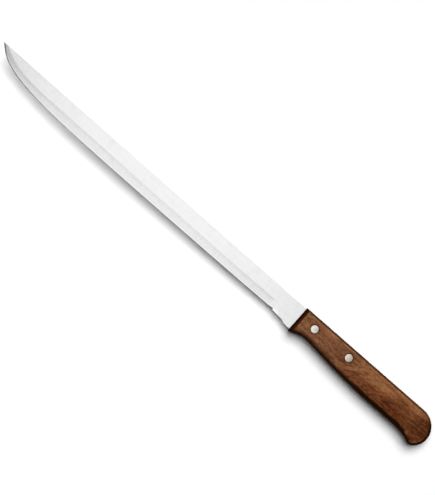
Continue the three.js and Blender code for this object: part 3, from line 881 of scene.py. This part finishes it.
def ground_steel():
    """Belt lines on the flats, wheel lines down the hollow, in colour, gloss and a very fine bump."""
    material, tree, surface, place = new_finish("ground_steel")
    hollow = add(tree, "Attribute", {}, attribute_name="ground").outputs["Fac"]
    on_hollow = between(tree, hollow, HOLLOW_STARTS)
    lines = grinding_lines(tree, place, on_hollow)
    colour = worn_steel(tree, place, on_hollow, lines)
    colour = along_the_blade(tree, place, hollow, on_hollow, colour)
    lay_on(tree, surface, colour, lines, STEEL_ROUGHNESS, lines, STEEL_BUMP, STEEL_BUMP_DEPTH)
    surface.inputs["Metallic"].default_value = 1.0
    return material


dress([blade], ground_steel())

# %% [markdown]
# ## Wood
# The handle is a figured brown hardwood with an oiled satin finish. Two runs of colours, a golden one and a
# redder one, each go from the darkest to the palest wood, and every point of the block has a place on
# both. One run would do for plain wood, but here pale wood lies beside red wood of the same darkness.

# %% Wood colours
GOLDEN_WOOD = [
    (0.0, seen(36, 17, 5)),
    (0.3, seen(82, 47, 23)),
    (0.5, seen(114, 74, 45)),
    (0.72, seen(142, 96, 60)),
    (1.0, seen(172, 122, 80)),
]
RED_WOOD = [
    (0.0, seen(36, 14, 5)),
    (0.3, seen(80, 40, 19)),
    (0.5, seen(110, 63, 37)),
    (0.72, seen(136, 82, 49)),
    (1.0, seen(162, 104, 66)),
]
# A dark brown for pores and for painted shade on the edges; end grain darkened as painted shade for the cut
# front
PORE_AND_SHADE_BROWN, END_GRAIN_AND_SHADE = seen(25, 9, 1), seen(60, 23, 9)
ROSY_TINT = (1.0, 1.04, 1.24, 1.0)
print(f"{len(GOLDEN_WOOD)} golden and {len(RED_WOOD)} red stops")

# %% [markdown]
# Broad clouds of paler, darker and redder wood lie where they happened to grow. Noise can't know where, so
# they are listed one by one. Each is an oval that fades out from its middle.

# %% Clouds in the wood
MIDDLE_TONE, MIDDLE_RED = 0.5, 0.2
CLOUD_REACH, CLOUD_THICKNESS = 1.4, 40
# Clouds on the shown side: behind the front, below the spine, half length, half width, tilt, paler, redder
CLOUDS = [
    (6, 9, 6, 9, 0, 0.05, 0.0),
    (18, 3.4, 4, 1.4, 0, -0.07, 0.5),
    (25, 4, 9, 4, 0, 0.07, 0.0),
    (25, 11, 12, 5, 0, 0.03, 0.0),
    (28, 1.4, 5, 1.5, 0, 0.18, 0.0),
    (38, 12, 9, 6, 0, -0.03, 0.1),
    (44, 11.6, 4, 1.5, 10, -0.06, 0.6),
    (45, 1.0, 5, 1.2, 0, 0.08, 0.0),
    (45, 15.5, 3, 1.2, 0, 0.08, -0.3),
    (55, 11, 8, 1.3, 28, 0.18, 0.0),
    (59.5, 7.6, 4, 1.2, 20, 0.1, 0.0),
    (58, 11.8, 4, 0.9, 28, -0.09, 0.5),
    (57, 15, 11, 4, 10, -0.03, 0.6),
    (66, 12.5, 5, 2, 15, 0.0, 0.4),
    (70, 9, 7, 2.4, 20, 0.06, 0.0),
    (72, 5, 18, 5, 0, 0.12, 0.0),
    (73, 7.8, 5, 1, 32, 0.1, 0.0),
    (73.5, 11.4, 4, 1.8, 0, -0.07, 0.2),
    (78, 15, 16, 5, 0, -0.08, 0.5),
    (84, 5.4, 4, 1.3, 15, 0.1, 0.1),
    (84, 11, 8, 2.5, 0, -0.05, 0.2),
    (88, 5, 12, 4, 10, 0.09, 0.1),
    (91, 11.5, 6, 1.2, 28, -0.07, 0.3),
    (98, 1.2, 8, 1.3, 0, 0.1, 0.0),
    (100, 11, 16, 7, 0, -0.05, 0.5),
    (100, 17, 16, 5, 0, -0.13, 0.4),
    (101.5, 4.4, 4, 1, 0, -0.1, 0.0),
    (111, 2.8, 11, 2.6, 0, 0.2, 0.1),
    (116, 6, 5, 1.2, 0, -0.04, 0.0),
    (115, 14.8, 5, 1.2, 0, -0.05, 0.4),
    (122, 11, 8.5, 10, 0, -0.19, 0.4),
    (128, 13, 4.5, 9, 0, -0.1, 0.2),
    (126, 4, 5, 3, -40, -0.1, 0.4),
    (121, 19.3, 3, 0.9, 30, 0.06, 0.0),
    (119.5, 21.5, 5, 1.8, 20, -0.2, 0.3),
]


def cloud_sum(tree, place):
    """Two sums over the clouds, of how much paler and how much redder: each fades out from its middle."""
    paler, redder = MIDDLE_TONE, MIDDLE_RED
    for behind, below, length, width, tilt, light, red in CLOUDS:
        sockets = {"Vector": place, "Location": (-behind, below, 0), "Rotation": (0, 0, math.radians(tilt)),
                   "Scale": (length, width, CLOUD_THICKNESS)}
        mapped = add(tree, "Mapping", sockets, vector_type="TEXTURE").outputs[0]
        apart = add(tree, "VectorMath", {0: mapped}, operation="LENGTH").outputs["Value"]
        reach = calculate(tree, "SUBTRACT", CLOUD_REACH, apart, clamp=True)
        reach = between(tree, reach, (0.0, 1.0))
        paler = calculate(tree, "MULTIPLY_ADD", reach, light, paler)
        redder = calculate(tree, "MULTIPLY_ADD", reach, red, redder)
    return paler, redder


print(f"{len(CLOUDS)} clouds, {sum(cloud[5] > 0 for cloud in CLOUDS)} of them paler")

# %% [markdown]
# Shade is painted along the handle's edges, so the shader has to know how far a point lies from the belly
# and from the back. The back is straight, which takes one line of arithmetic. The belly's line becomes a
# curve node through a few of its points.

# %% Places on the handle
BELLY_KNOTS = np.linspace(-HANDLE_LENGTH, 0, 14)
KNOT_DEPTHS = np.interp(BELLY_KNOTS, belly_line[:, 0], belly_line[:, 1])
BACK_SLOPE = (BACK_AT_BUTT + BACK_PROUD) / SHOULDER_AT


def belly_depth(tree, x):
    """Depth of the belly's line at a place along the handle, as a curve through a few of its points."""
    node = add(tree, "FloatCurve", {"Value": calculate(tree, "DIVIDE", x, -HANDLE_LENGTH)})
    curve = node.mapping.curves[0]
    for _ in BELLY_KNOTS[2:]:
        curve.points.new(0.5, 0.5)
    for point, knot, depth in zip(curve.points, BELLY_KNOTS[::-1], KNOT_DEPTHS[::-1]):
        point.location = (-knot / HANDLE_LENGTH, depth / HANDLE_LENGTH)
    node.mapping.update()
    return calculate(tree, "MULTIPLY", node.outputs[0], HANDLE_LENGTH)


def places_on_handle(tree, place):
    """Where a point lies: along the handle, above its belly and below its back."""
    x, y, _ = add(tree, "SeparateXYZ", {0: place}).outputs
    above_belly = calculate(tree, "SUBTRACT", belly_depth(tree, x), y)
    back = calculate(tree, "MULTIPLY_ADD", x, BACK_SLOPE, -BACK_PROUD)
    return x, above_belly, calculate(tree, "SUBTRACT", y, back)


print(f"belly from {KNOT_DEPTHS.min():.1f} to {KNOT_DEPTHS.max():.1f} mm deep at {len(BELLY_KNOTS)} points")

# %% [markdown]
# A painted highlight runs as a paler line under the back and on the arris behind the front bevel. Painted
# shade darkens the butt's rounded rim, which is end grain, both long edges, with a ragged line along the
# belly, and the front bevel. On the upright walls the painted shade is weaker. Each rivet has a thin dark
# ring. A mask painted by hand would do too, but distances follow the handle when its outline changes.

# %% Painted highlight and painted shade
# Painted highlight under the back and on the front arris; painted shade on the butt's rim, the long edges
# and the front
# Millimetres below the back, above the belly, or along the handle
HIGHLIGHT_FROM, HIGHLIGHT_TO = (1.3, 2.1), (2.2, 3.5)
ARRIS_BEHIND, ARRIS_HALF, ARRIS_HIGHLIGHT = 3.75, (0.2, 0.9), (0.8, 0.0)
BUTT_RIM_FROM, BUTT_RIM_DOWN, BUTT_RIM_DARK = (-119.0, -112.0), (3.0, 10.0), (0.4, 1.0)
BELLY_SHADE, REAR_BELLY_SHADE, BELLY_SHADE_FROM = (0.6, 5.3), (2.7, 4.2), (-127.0, -118.0)
LOW_SHADE_TURN, HIGH_SHADE_TURN = (-30.0, -84.0), (-70.0, -95.0)
RAGGED_SIZE, RAGGEDNESS = (4, 1.5, 1.5), 2.5
BACK_SHADE, BACK_SHADE_TURN, BACK_SHADE_DARK = (0.75, 2.0), (-110.0, -92.0), (0.55, 0.78)
FRONT_SHADE_FROM = (-2.4, -0.7)
RIVET_RING, RIVET_RING_DARK = 1.0, 0.75
# How squarely a face looks up, from 0 to 1
BUTT_RIM_TURN, WALL_TURN, WALL_DARK = (0.83, 0.94), (0.05, 0.45), (0.45, 1.0)


def painted_highlight_share(tree, x, below_back):
    """Painted highlight: a paler line under the back, and on the front bevel's arris."""
    line = product(tree, between(tree, below_back, HIGHLIGHT_FROM),
                   between(tree, below_back, HIGHLIGHT_TO, FADING))
    from_arris = calculate(tree, "ABSOLUTE", calculate(tree, "ADD", x, ARRIS_BEHIND))
    return largest(tree, line, between(tree, from_arris, ARRIS_HALF, ARRIS_HIGHLIGHT))


def long_edge_shade(tree, place, x, above_belly, below_back):
    """Painted shade along belly and back: full at the edge, fading over a distance that changes along the
    handle.
    """
    ragged = noise(tree, place, RAGGED_SIZE, detail=4).outputs[0]
    above_belly = sway(tree, above_belly, ragged, RAGGEDNESS)
    low = between(tree, x, LOW_SHADE_TURN, (BELLY_SHADE[0], REAR_BELLY_SHADE[0]))
    high = between(tree, x, HIGH_SHADE_TURN, (BELLY_SHADE[1], REAR_BELLY_SHADE[1]))
    belly = product(tree, between(tree, above_belly, (low, high), FADING),
                    between(tree, x, BELLY_SHADE_FROM))
    back = product(tree, between(tree, below_back, BACK_SHADE, FADING),
                   between(tree, x, BACK_SHADE_TURN, BACK_SHADE_DARK))
    return largest(tree, belly, back)


def painted_edge_shade(tree, place, x, above_belly, below_back):
    """How much painted shade darkens edges: the butt's rim, also end grain, by the normal, belly and back by
    their distance, the front by its place, rivets by a ring.
    """
    normal = add(tree, "TexCoord", {}).outputs["Normal"]
    upright = calculate(tree, "ABSOLUTE", add(tree, "SeparateXYZ", {0: normal}).outputs["Z"])
    butt_rim = product(tree, between(tree, upright, BUTT_RIM_TURN, FADING),
                       between(tree, x, BUTT_RIM_FROM, FADING),
                       between(tree, below_back, BUTT_RIM_DOWN, BUTT_RIM_DARK))
    share = largest(tree, butt_rim, long_edge_shade(tree, place, x, above_belly, below_back))
    share = product(tree, share, between(tree, upright, WALL_TURN, WALL_DARK))
    share = largest(tree, share, between(tree, x, FRONT_SHADE_FROM))
    flat_place = add(tree, "VectorMath", {0: place, 1: (1, 1, 0)}, operation="MULTIPLY").outputs[0]
    # a thin dark ring round each rivet
    for centre, radius in rivets.values():
        sockets = {0: flat_place, 1: (*centre, 0)}
        apart = add(tree, "VectorMath", sockets, operation="DISTANCE").outputs["Value"]
        ring = between(tree, apart, (radius, radius + RIVET_RING), (RIVET_RING_DARK, 0.0))
        share = largest(tree, share, ring)
    return share


print(f"stain up to {BELLY_SHADE[1]} mm above the belly and {BACK_SHADE[1]} mm below the back")

# %% [markdown]
# The finer figure is noise in several sizes. Streaks run along the grain, ripples cross it in the middle of
# the handle, and mottles, specks and fibres are finer still. A slow warp bends the larger ones, as a tree
# grows. Pores are short dark lines. The front half is rosier, and the cut front shows end grain, darkened
# further as painted shade.

# %% Figured wood
WARP_SIZE, WARP_REACH = (20, 11, 11), (6, 3, 3)
BENT_GRAIN = {
    "streak": {"size": (30, 2, 2), "detail": 5, "roughness": 0.6},
    "ripple": {"size": (9, 1.6, 4), "detail": 4, "turn": 28},
    "mottle": {"size": (3.2, 1.6, 1.6), "detail": 4, "roughness": 0.6},
}
STRAIGHT_GRAIN = {
    "speck": {"size": (1.7, 1.2, 1.2), "detail": 2},
    "fibre": {"size": (8, 0.3, 0.3), "detail": 3},
}
GRAIN_STRENGTH = {"streak": 0.5, "mottle": 0.62, "speck": 0.4, "fibre": 0.25}
RIPPLE_STARTS, RIPPLE_GROWS = (-42.0, -52.0), (0.1, 0.55)
RIPPLE_ENDS, RIPPLE_SHRINKS = (-96.0, -76.0), (0.15, 1.0)
# How strong the painted highlight is
HIGHLIGHT_FLOOR, HIGHLIGHT_STRENGTH = 0.3, 0.1
HUE_SIZE, HUE_SWAY = (12, 5, 5), 0.9
PORE_SIZE, PORE_SPAN, PORE, PORE_DEPTH = (4.5, 0.2, 0.2), (0.62, 0.7), 0.4, -0.8
ROSY_FROM, END_GRAIN_SHADE_FROM, EDGE_DARK = (-75.0, -35.0), (-3.6, -2.6), 0.97
WOOD_ROUGHNESS, WOOD_BUMP, WOOD_BUMP_DEPTH, WOOD_MIRROR = (0.45, 0.6), 0.35, 0.05, 0.012


def bent_place(tree, place):
    """The place moved by slow noise, so that patterns read there are bent."""
    slow = noise(tree, place, WARP_SIZE, detail=3).outputs[1]
    around = add(tree, "VectorMath", {0: slow, 1: (-0.5,) * 3}, operation="ADD").outputs[0]
    sockets = {0: around, 1: WARP_REACH, 2: place}
    return add(tree, "VectorMath", sockets, operation="MULTIPLY_ADD").outputs[0]


def grain_patterns(tree, place, bent):
    """Noise for every kind of grain, by name."""
    grain = {name: noise(tree, bent, **kind).outputs[0] for name, kind in BENT_GRAIN.items()}
    for name, kind in STRAIGHT_GRAIN.items():
        grain[name] = noise(tree, place, **kind).outputs[0]
    return grain


def figured_wood():
    """Clouds, streaks, ripples, pores and fibres, with a painted highlight and painted shade on the edges.
    """
    material, tree, surface, place = new_finish("figured_wood")
    bent = bent_place(tree, place)
    tone, redder = cloud_sum(tree, bent)
    x, above_belly, below_back = places_on_handle(tree, place)
    grain = grain_patterns(tree, place, bent)
    rippled = product(tree, between(tree, x, RIPPLE_STARTS, RIPPLE_GROWS),
                      between(tree, x, RIPPLE_ENDS, RIPPLE_SHRINKS))
    strength = GRAIN_STRENGTH | {"ripple": rippled}
    for name, pattern in grain.items():
        tone = sway(tree, tone, pattern, strength[name])
    # painted highlight: a paler line under the back and on the front arris
    highlight = calculate(tree, "ADD", grain["mottle"], HIGHLIGHT_FLOOR)
    highlight = product(tree, painted_highlight_share(tree, x, below_back), highlight)
    tone = calculate(tree, "MULTIPLY_ADD", highlight, HIGHLIGHT_STRENGTH, tone)
    hue = noise(tree, bent, HUE_SIZE, detail=2).outputs[0]
    redder = sway(tree, redder, hue, HUE_SWAY, clamp=True)
    colour = blend(tree, redder, ramp(tree, tone, GOLDEN_WOOD), ramp(tree, tone, RED_WOOD))
    colour = blend(tree, between(tree, x, ROSY_FROM), colour, ROSY_TINT, "MULTIPLY")
    pore = between(tree, noise(tree, place, PORE_SIZE, detail=1).outputs[0], PORE_SPAN)
    colour = blend(tree, product(tree, pore, PORE), colour, PORE_AND_SHADE_BROWN)
    # end grain at the front, darkened further as painted shade
    colour = blend(tree, between(tree, x, END_GRAIN_SHADE_FROM), colour, END_GRAIN_AND_SHADE)
    # painted shade on the edges, blended towards the dark brown
    dark = product(tree, painted_edge_shade(tree, place, x, above_belly, below_back), EDGE_DARK)
    colour = blend(tree, dark, colour, PORE_AND_SHADE_BROWN)
    height = calculate(tree, "MULTIPLY_ADD", pore, PORE_DEPTH, grain["fibre"])
    lay_on(tree, surface, colour, grain["fibre"], WOOD_ROUGHNESS, height, WOOD_BUMP, WOOD_BUMP_DEPTH)
    surface.inputs["Specular IOR Level"].default_value = WOOD_MIRROR
    return material


dress([handle], figured_wood())

# %% [markdown]
# ## Rivet metal
# The heads were ground flush with the wood, which leaves a pale, slightly warm metal with fine scratches and
# a thin dull film. The rear rivet is a little duller. Scratches are noise drawn out in a slanting direction,
# in the gloss as well as in a fine bump.

# %% Rivet metal
PALE_METAL, DULL_METAL = seen(250, 241, 233), seen(232, 219, 206)
FILM_SIZE, FILM_SPAN = (3, 3, 3), (0.35, 0.7)
REAR_DULLER_FROM, REAR_DULLER = (-20.0, -42.0), (0.0, 0.22)
SCRATCH_SIZE, SCRATCH_TURN = (1.7, 0.14, 0.5), 35
RIVET_ROUGHNESS, RIVET_BUMP, RIVET_BUMP_DEPTH = (0.2, 0.34), 0.3, 0.01


def rivet_metal():
    """Scratches and a dull film, as noise in colour and gloss."""
    material, tree, surface, place = new_finish("rivet_metal")
    x = add(tree, "SeparateXYZ", {0: place}).outputs[0]
    film = noise(tree, place, FILM_SIZE, detail=3).outputs[0]
    # the rear rivet is a little duller
    film = calculate(tree, "ADD", film, between(tree, x, REAR_DULLER_FROM, REAR_DULLER))
    scratch = noise(tree, place, SCRATCH_SIZE, detail=3, turn=SCRATCH_TURN).outputs[0]
    colour = blend(tree, between(tree, film, FILM_SPAN), PALE_METAL, DULL_METAL)
    lay_on(tree, surface, colour, scratch, RIVET_ROUGHNESS, scratch, RIVET_BUMP, RIVET_BUMP_DEPTH)
    surface.inputs["Metallic"].default_value = 1.0
    return material


dress(rivet_pieces, rivet_metal())

# %% [markdown]
# ## Floor
# The knife lies on a white sweep, level under the handle, that falls away a little below the blade, as the
# photographed shadow shows. Rays from the camera, and rays that metal reflects, see a white floor that
# keeps the shadow, while light that bounces back up to the wood comes from a greyer one, so that the
# handle's turned-away edges stay dark, as they do beside black cards in a studio.

# %% White floor
FLOOR_HALF, FALL_LENGTH, FALL_ANGLE = 30.0, 0.5, math.radians(2.5)
FLOOR_DROP = 0.05 * MM
WHITE_FLOOR = (0.967, 0.967, 0.967, 1.0)
GREY_FLOOR = (0.55, 0.55, 0.55, 1.0)


def floor_finish():
    """White for camera, glossy and transmission rays, grey for the light that bounces off it."""
    material = bpy.data.materials.new("floor")
    material.use_nodes = True
    tree = material.node_tree
    tree.nodes.clear()
    path = add(tree, "LightPath", {}).outputs
    direct = largest(tree, path["Is Camera Ray"], path["Is Glossy Ray"], path["Is Transmission Ray"])
    colour = blend(tree, direct, GREY_FLOOR, WHITE_FLOOR)
    surface = add(tree, "BsdfDiffuse", {"Color": colour})
    add(tree, "OutputMaterial", {"Surface": surface.outputs[0]})
    return material


def sweep():
    """A profile of level, fall and level along the knife, carried straight across to the other side."""
    along = np.array([-FLOOR_HALF, handle_high.x, handle_high.x + FALL_LENGTH, FLOOR_HALF])
    fall = math.tan(FALL_ANGLE) * np.clip(along - handle_high.x, 0, FALL_LENGTH)
    height = cad_low.z - FLOOR_DROP - fall
    count = len(along)
    sides = [np.column_stack([along, np.full(count, side), height]) for side in (-FLOOR_HALF, FLOOR_HALF)]
    step = np.arange(count - 1)
    faces = np.stack([step, step + 1, step + count + 1, step + count], -1)
    return np.vstack(sides).tolist(), faces.tolist()


points, faces = sweep()
floor_mesh = bpy.data.meshes.new("floor")
floor_mesh.from_pydata(points, [], faces)
floor_mesh.materials.append(floor_finish())
floor = bpy.data.objects.new("floor", floor_mesh)
bpy.context.scene.collection.objects.link(floor)
floor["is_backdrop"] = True
print(f"floor of {len(faces)} faces, falling {math.tan(FALL_ANGLE) * FALL_LENGTH / MM:.0f} mm")

# %% [markdown]
# ## Light
# A broad soft lamp stands high on the spine's side, so the shadow falls below the edge. A light panel hangs
# over the blade and is what the steel mirrors: it ends before the point and before the handle, where the
# steel grows greyer. A wide, weaker ceiling is mirrored round it. The big lamp is kept out of the mirror
# image, and panel and ceiling are seen in nothing else, as a photographer would arrange with cards.

# %% Sun, panel and ceiling
SUN_HEIGHT, SUN_SOFTNESS, SUN_STRENGTH = math.radians(70), math.radians(40), 3.34
PANEL_LENGTH, PANEL_WIDTH, PANEL_HEIGHT, PANEL_STRENGTH = 0.39, 0.68, 0.8, 0.59
PANEL_AT, PANEL_ASIDE = 141.0, 0.03
CEILING_SIZE, CEILING_HEIGHT, CEILING_STRENGTH = 2.4, 1.0, 0.412


def add_lamp(name, kind, place, aim, **settings):
    """A lamp at a place, turned so that it shines towards its aim."""
    lamp = bpy.data.lights.new(name, kind)
    for setting, value in settings.items():
        setattr(lamp, setting, value)
    made = bpy.data.objects.new(name, lamp)
    made.location = place
    made.rotation_mode = "QUATERNION"
    made.rotation_quaternion = (Vector(aim) - Vector(place)).to_track_quat("-Z", "Y")
    bpy.context.scene.collection.objects.link(made)
    return made


sun_place = (0, -math.cos(SUN_HEIGHT), math.sin(SUN_HEIGHT))
key = add_lamp("key", "SUN", sun_place, (0, 0, 0), energy=SUN_STRENGTH, angle=SUN_SOFTNESS)
key.visible_glossy = False
panel_x = in_frame((PANEL_AT, 0, 0))[0]
panel_power = PANEL_STRENGTH * math.pi * PANEL_LENGTH * PANEL_WIDTH
ceiling_power = CEILING_STRENGTH * math.pi * CEILING_SIZE**2
panel_aim = (panel_x, PANEL_ASIDE, 0)
panel = add_lamp("panel", "AREA", (panel_x, PANEL_ASIDE, PANEL_HEIGHT), panel_aim,
                 energy=panel_power, shape="RECTANGLE", size=PANEL_LENGTH, size_y=PANEL_WIDTH)
ceiling = add_lamp("ceiling", "AREA", (panel_x, PANEL_ASIDE, CEILING_HEIGHT), panel_aim,
                   energy=ceiling_power, shape="SQUARE", size=CEILING_SIZE)
for lamp in (panel, ceiling):
    lamp.visible_camera = False
    lamp.visible_diffuse = False
print(f"panel {panel_power:.2f} W, ceiling {ceiling_power:.2f} W")

# %% [markdown]
# Two small weak lamps low on the edge's side lift the shadow, one below the point and one below the middle
# of the blade, as a strip of white card would. A brighter sky would lift it everywhere, and the shadow
# would lose its shape. Places are in drawing millimetres.

# %% Fill lamps
FILL_SIZE = 0.03
# Place, aim and power in watts
FILLS = [((300, 100, 72), (275, 20, -8), 0.065), ((125, 100, 60), (115, 20, -6), 0.007)]
for place, aim, power in FILLS:
    fill = add_lamp("fill", "AREA", in_frame(place), in_frame(aim), size=FILL_SIZE, energy=power)
    fill.visible_camera = False
    fill.visible_glossy = False
print(f"{len(FILLS)} fill lamps, {1000 * sum(power for _, _, power in FILLS):.0f} mW in all")

# %% [markdown]
# The rest of the room is nearly dark, which draws the knife's outline. What the metal mirrors is a sky of
# its own, bright near the horizon and dark above it, and the camera sees plain white past the floor.

# %% Sky
# Places run from the horizon at 0 to straight up at 1
SKY_LIGHT = [(0.0, 0.12), (0.4, 0.06), (0.75, 0.03), (0.9, 0.04), (1.0, 0.05)]
MIRRORED_SKY = [(0.0, 0.8), (0.45, 0.75), (0.7, 0.03), (0.9, 0.04), (1.0, 0.05)]
WHITE = (1.0, 1.0, 1.0, 1.0)


def grey_ramp(tree, value, stops):
    """A run of greys: each stop is a place from 0 to 1 and a lightness."""
    return ramp(tree, value, [(place, (light, light, light, 1.0)) for place, light in stops])


world = bpy.data.worlds.new("studio")
bpy.context.scene.world = world
world.use_nodes = True
tree = world.node_tree
tree.nodes.clear()
direction = add(tree, "TexCoord", {}).outputs["Generated"]
up = add(tree, "SeparateXYZ", {0: direction}).outputs["Z"]
path = add(tree, "LightPath", {}).outputs
sky = blend(tree, path["Is Glossy Ray"], grey_ramp(tree, up, SKY_LIGHT), grey_ramp(tree, up, MIRRORED_SKY))
sky = blend(tree, largest(tree, path["Is Camera Ray"], path["Is Transmission Ray"]), sky, WHITE)
background = add(tree, "Background", {"Color": sky})
add(tree, "OutputWorld", {"Surface": background.outputs[0]})
print(f"sky of {len(tree.nodes)} nodes")

# %% [markdown]
# ## Camera
# The photograph looks straight down, from far away, with the knife turned across the picture. The handle's
# front corner and the direction of the spine fix that view: where the corner falls in the picture, the angle
# of the spine and the size of a pixel on the knife. A long lens from far off keeps the view nearly parallel.

# %% Camera
PICTURE_SIZE = np.array([435, 495])
CORNER_PIXEL = np.array([306.614, 308.850])
SPINE_ANGLE = math.radians(41.484)
PIXEL = 0.74256
LENS, SENSOR, FAR_CLIP = 600.0, 36.0, 100.0

towards_point = np.array([-math.cos(SPINE_ANGLE), -math.sin(SPINE_ANGLE)])
towards_edge = np.array([-math.sin(SPINE_ANGLE), math.cos(SPINE_ANGLE)])
to_middle = (PICTURE_SIZE / 2 - CORNER_PIXEL) * PIXEL
middle = in_frame((to_middle @ towards_point, to_middle @ towards_edge, 0))
right = Vector((towards_point[0], towards_edge[0], 0))
up_picture = Vector((-towards_point[1], -towards_edge[1], 0))
towards_camera = right.cross(up_picture)
distance = LENS / SENSOR * PICTURE_SIZE.max() * PIXEL * MM
turn = Matrix((right, up_picture, towards_camera)).transposed()

camera_data = bpy.data.cameras.new("camera")
camera_data.lens = LENS
camera_data.sensor_width = SENSOR
camera_data.clip_end = FAR_CLIP
camera = bpy.data.objects.new("camera", camera_data)
camera.matrix_world = Matrix.Translation(Vector(middle) + towards_camera * distance) @ turn.to_4x4()
bpy.context.scene.collection.objects.link(camera)
bpy.context.scene.camera = camera
bpy.context.scene.view_settings.view_transform = "Standard"
print(f"camera {distance:.2f} m above the knife")

# %% [markdown]
# The skins must not be larger than the solids that they stand for, so both boxes are measured and the
# difference is printed. After that every skin is in place.

# %% Boxes of solids and skins
skin_low, skin_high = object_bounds()
larger = np.array((skin_high - skin_low) - (cad_high - cad_low)) / MM
print("larger than the solids by", larger.round(3).tolist(), "mm")
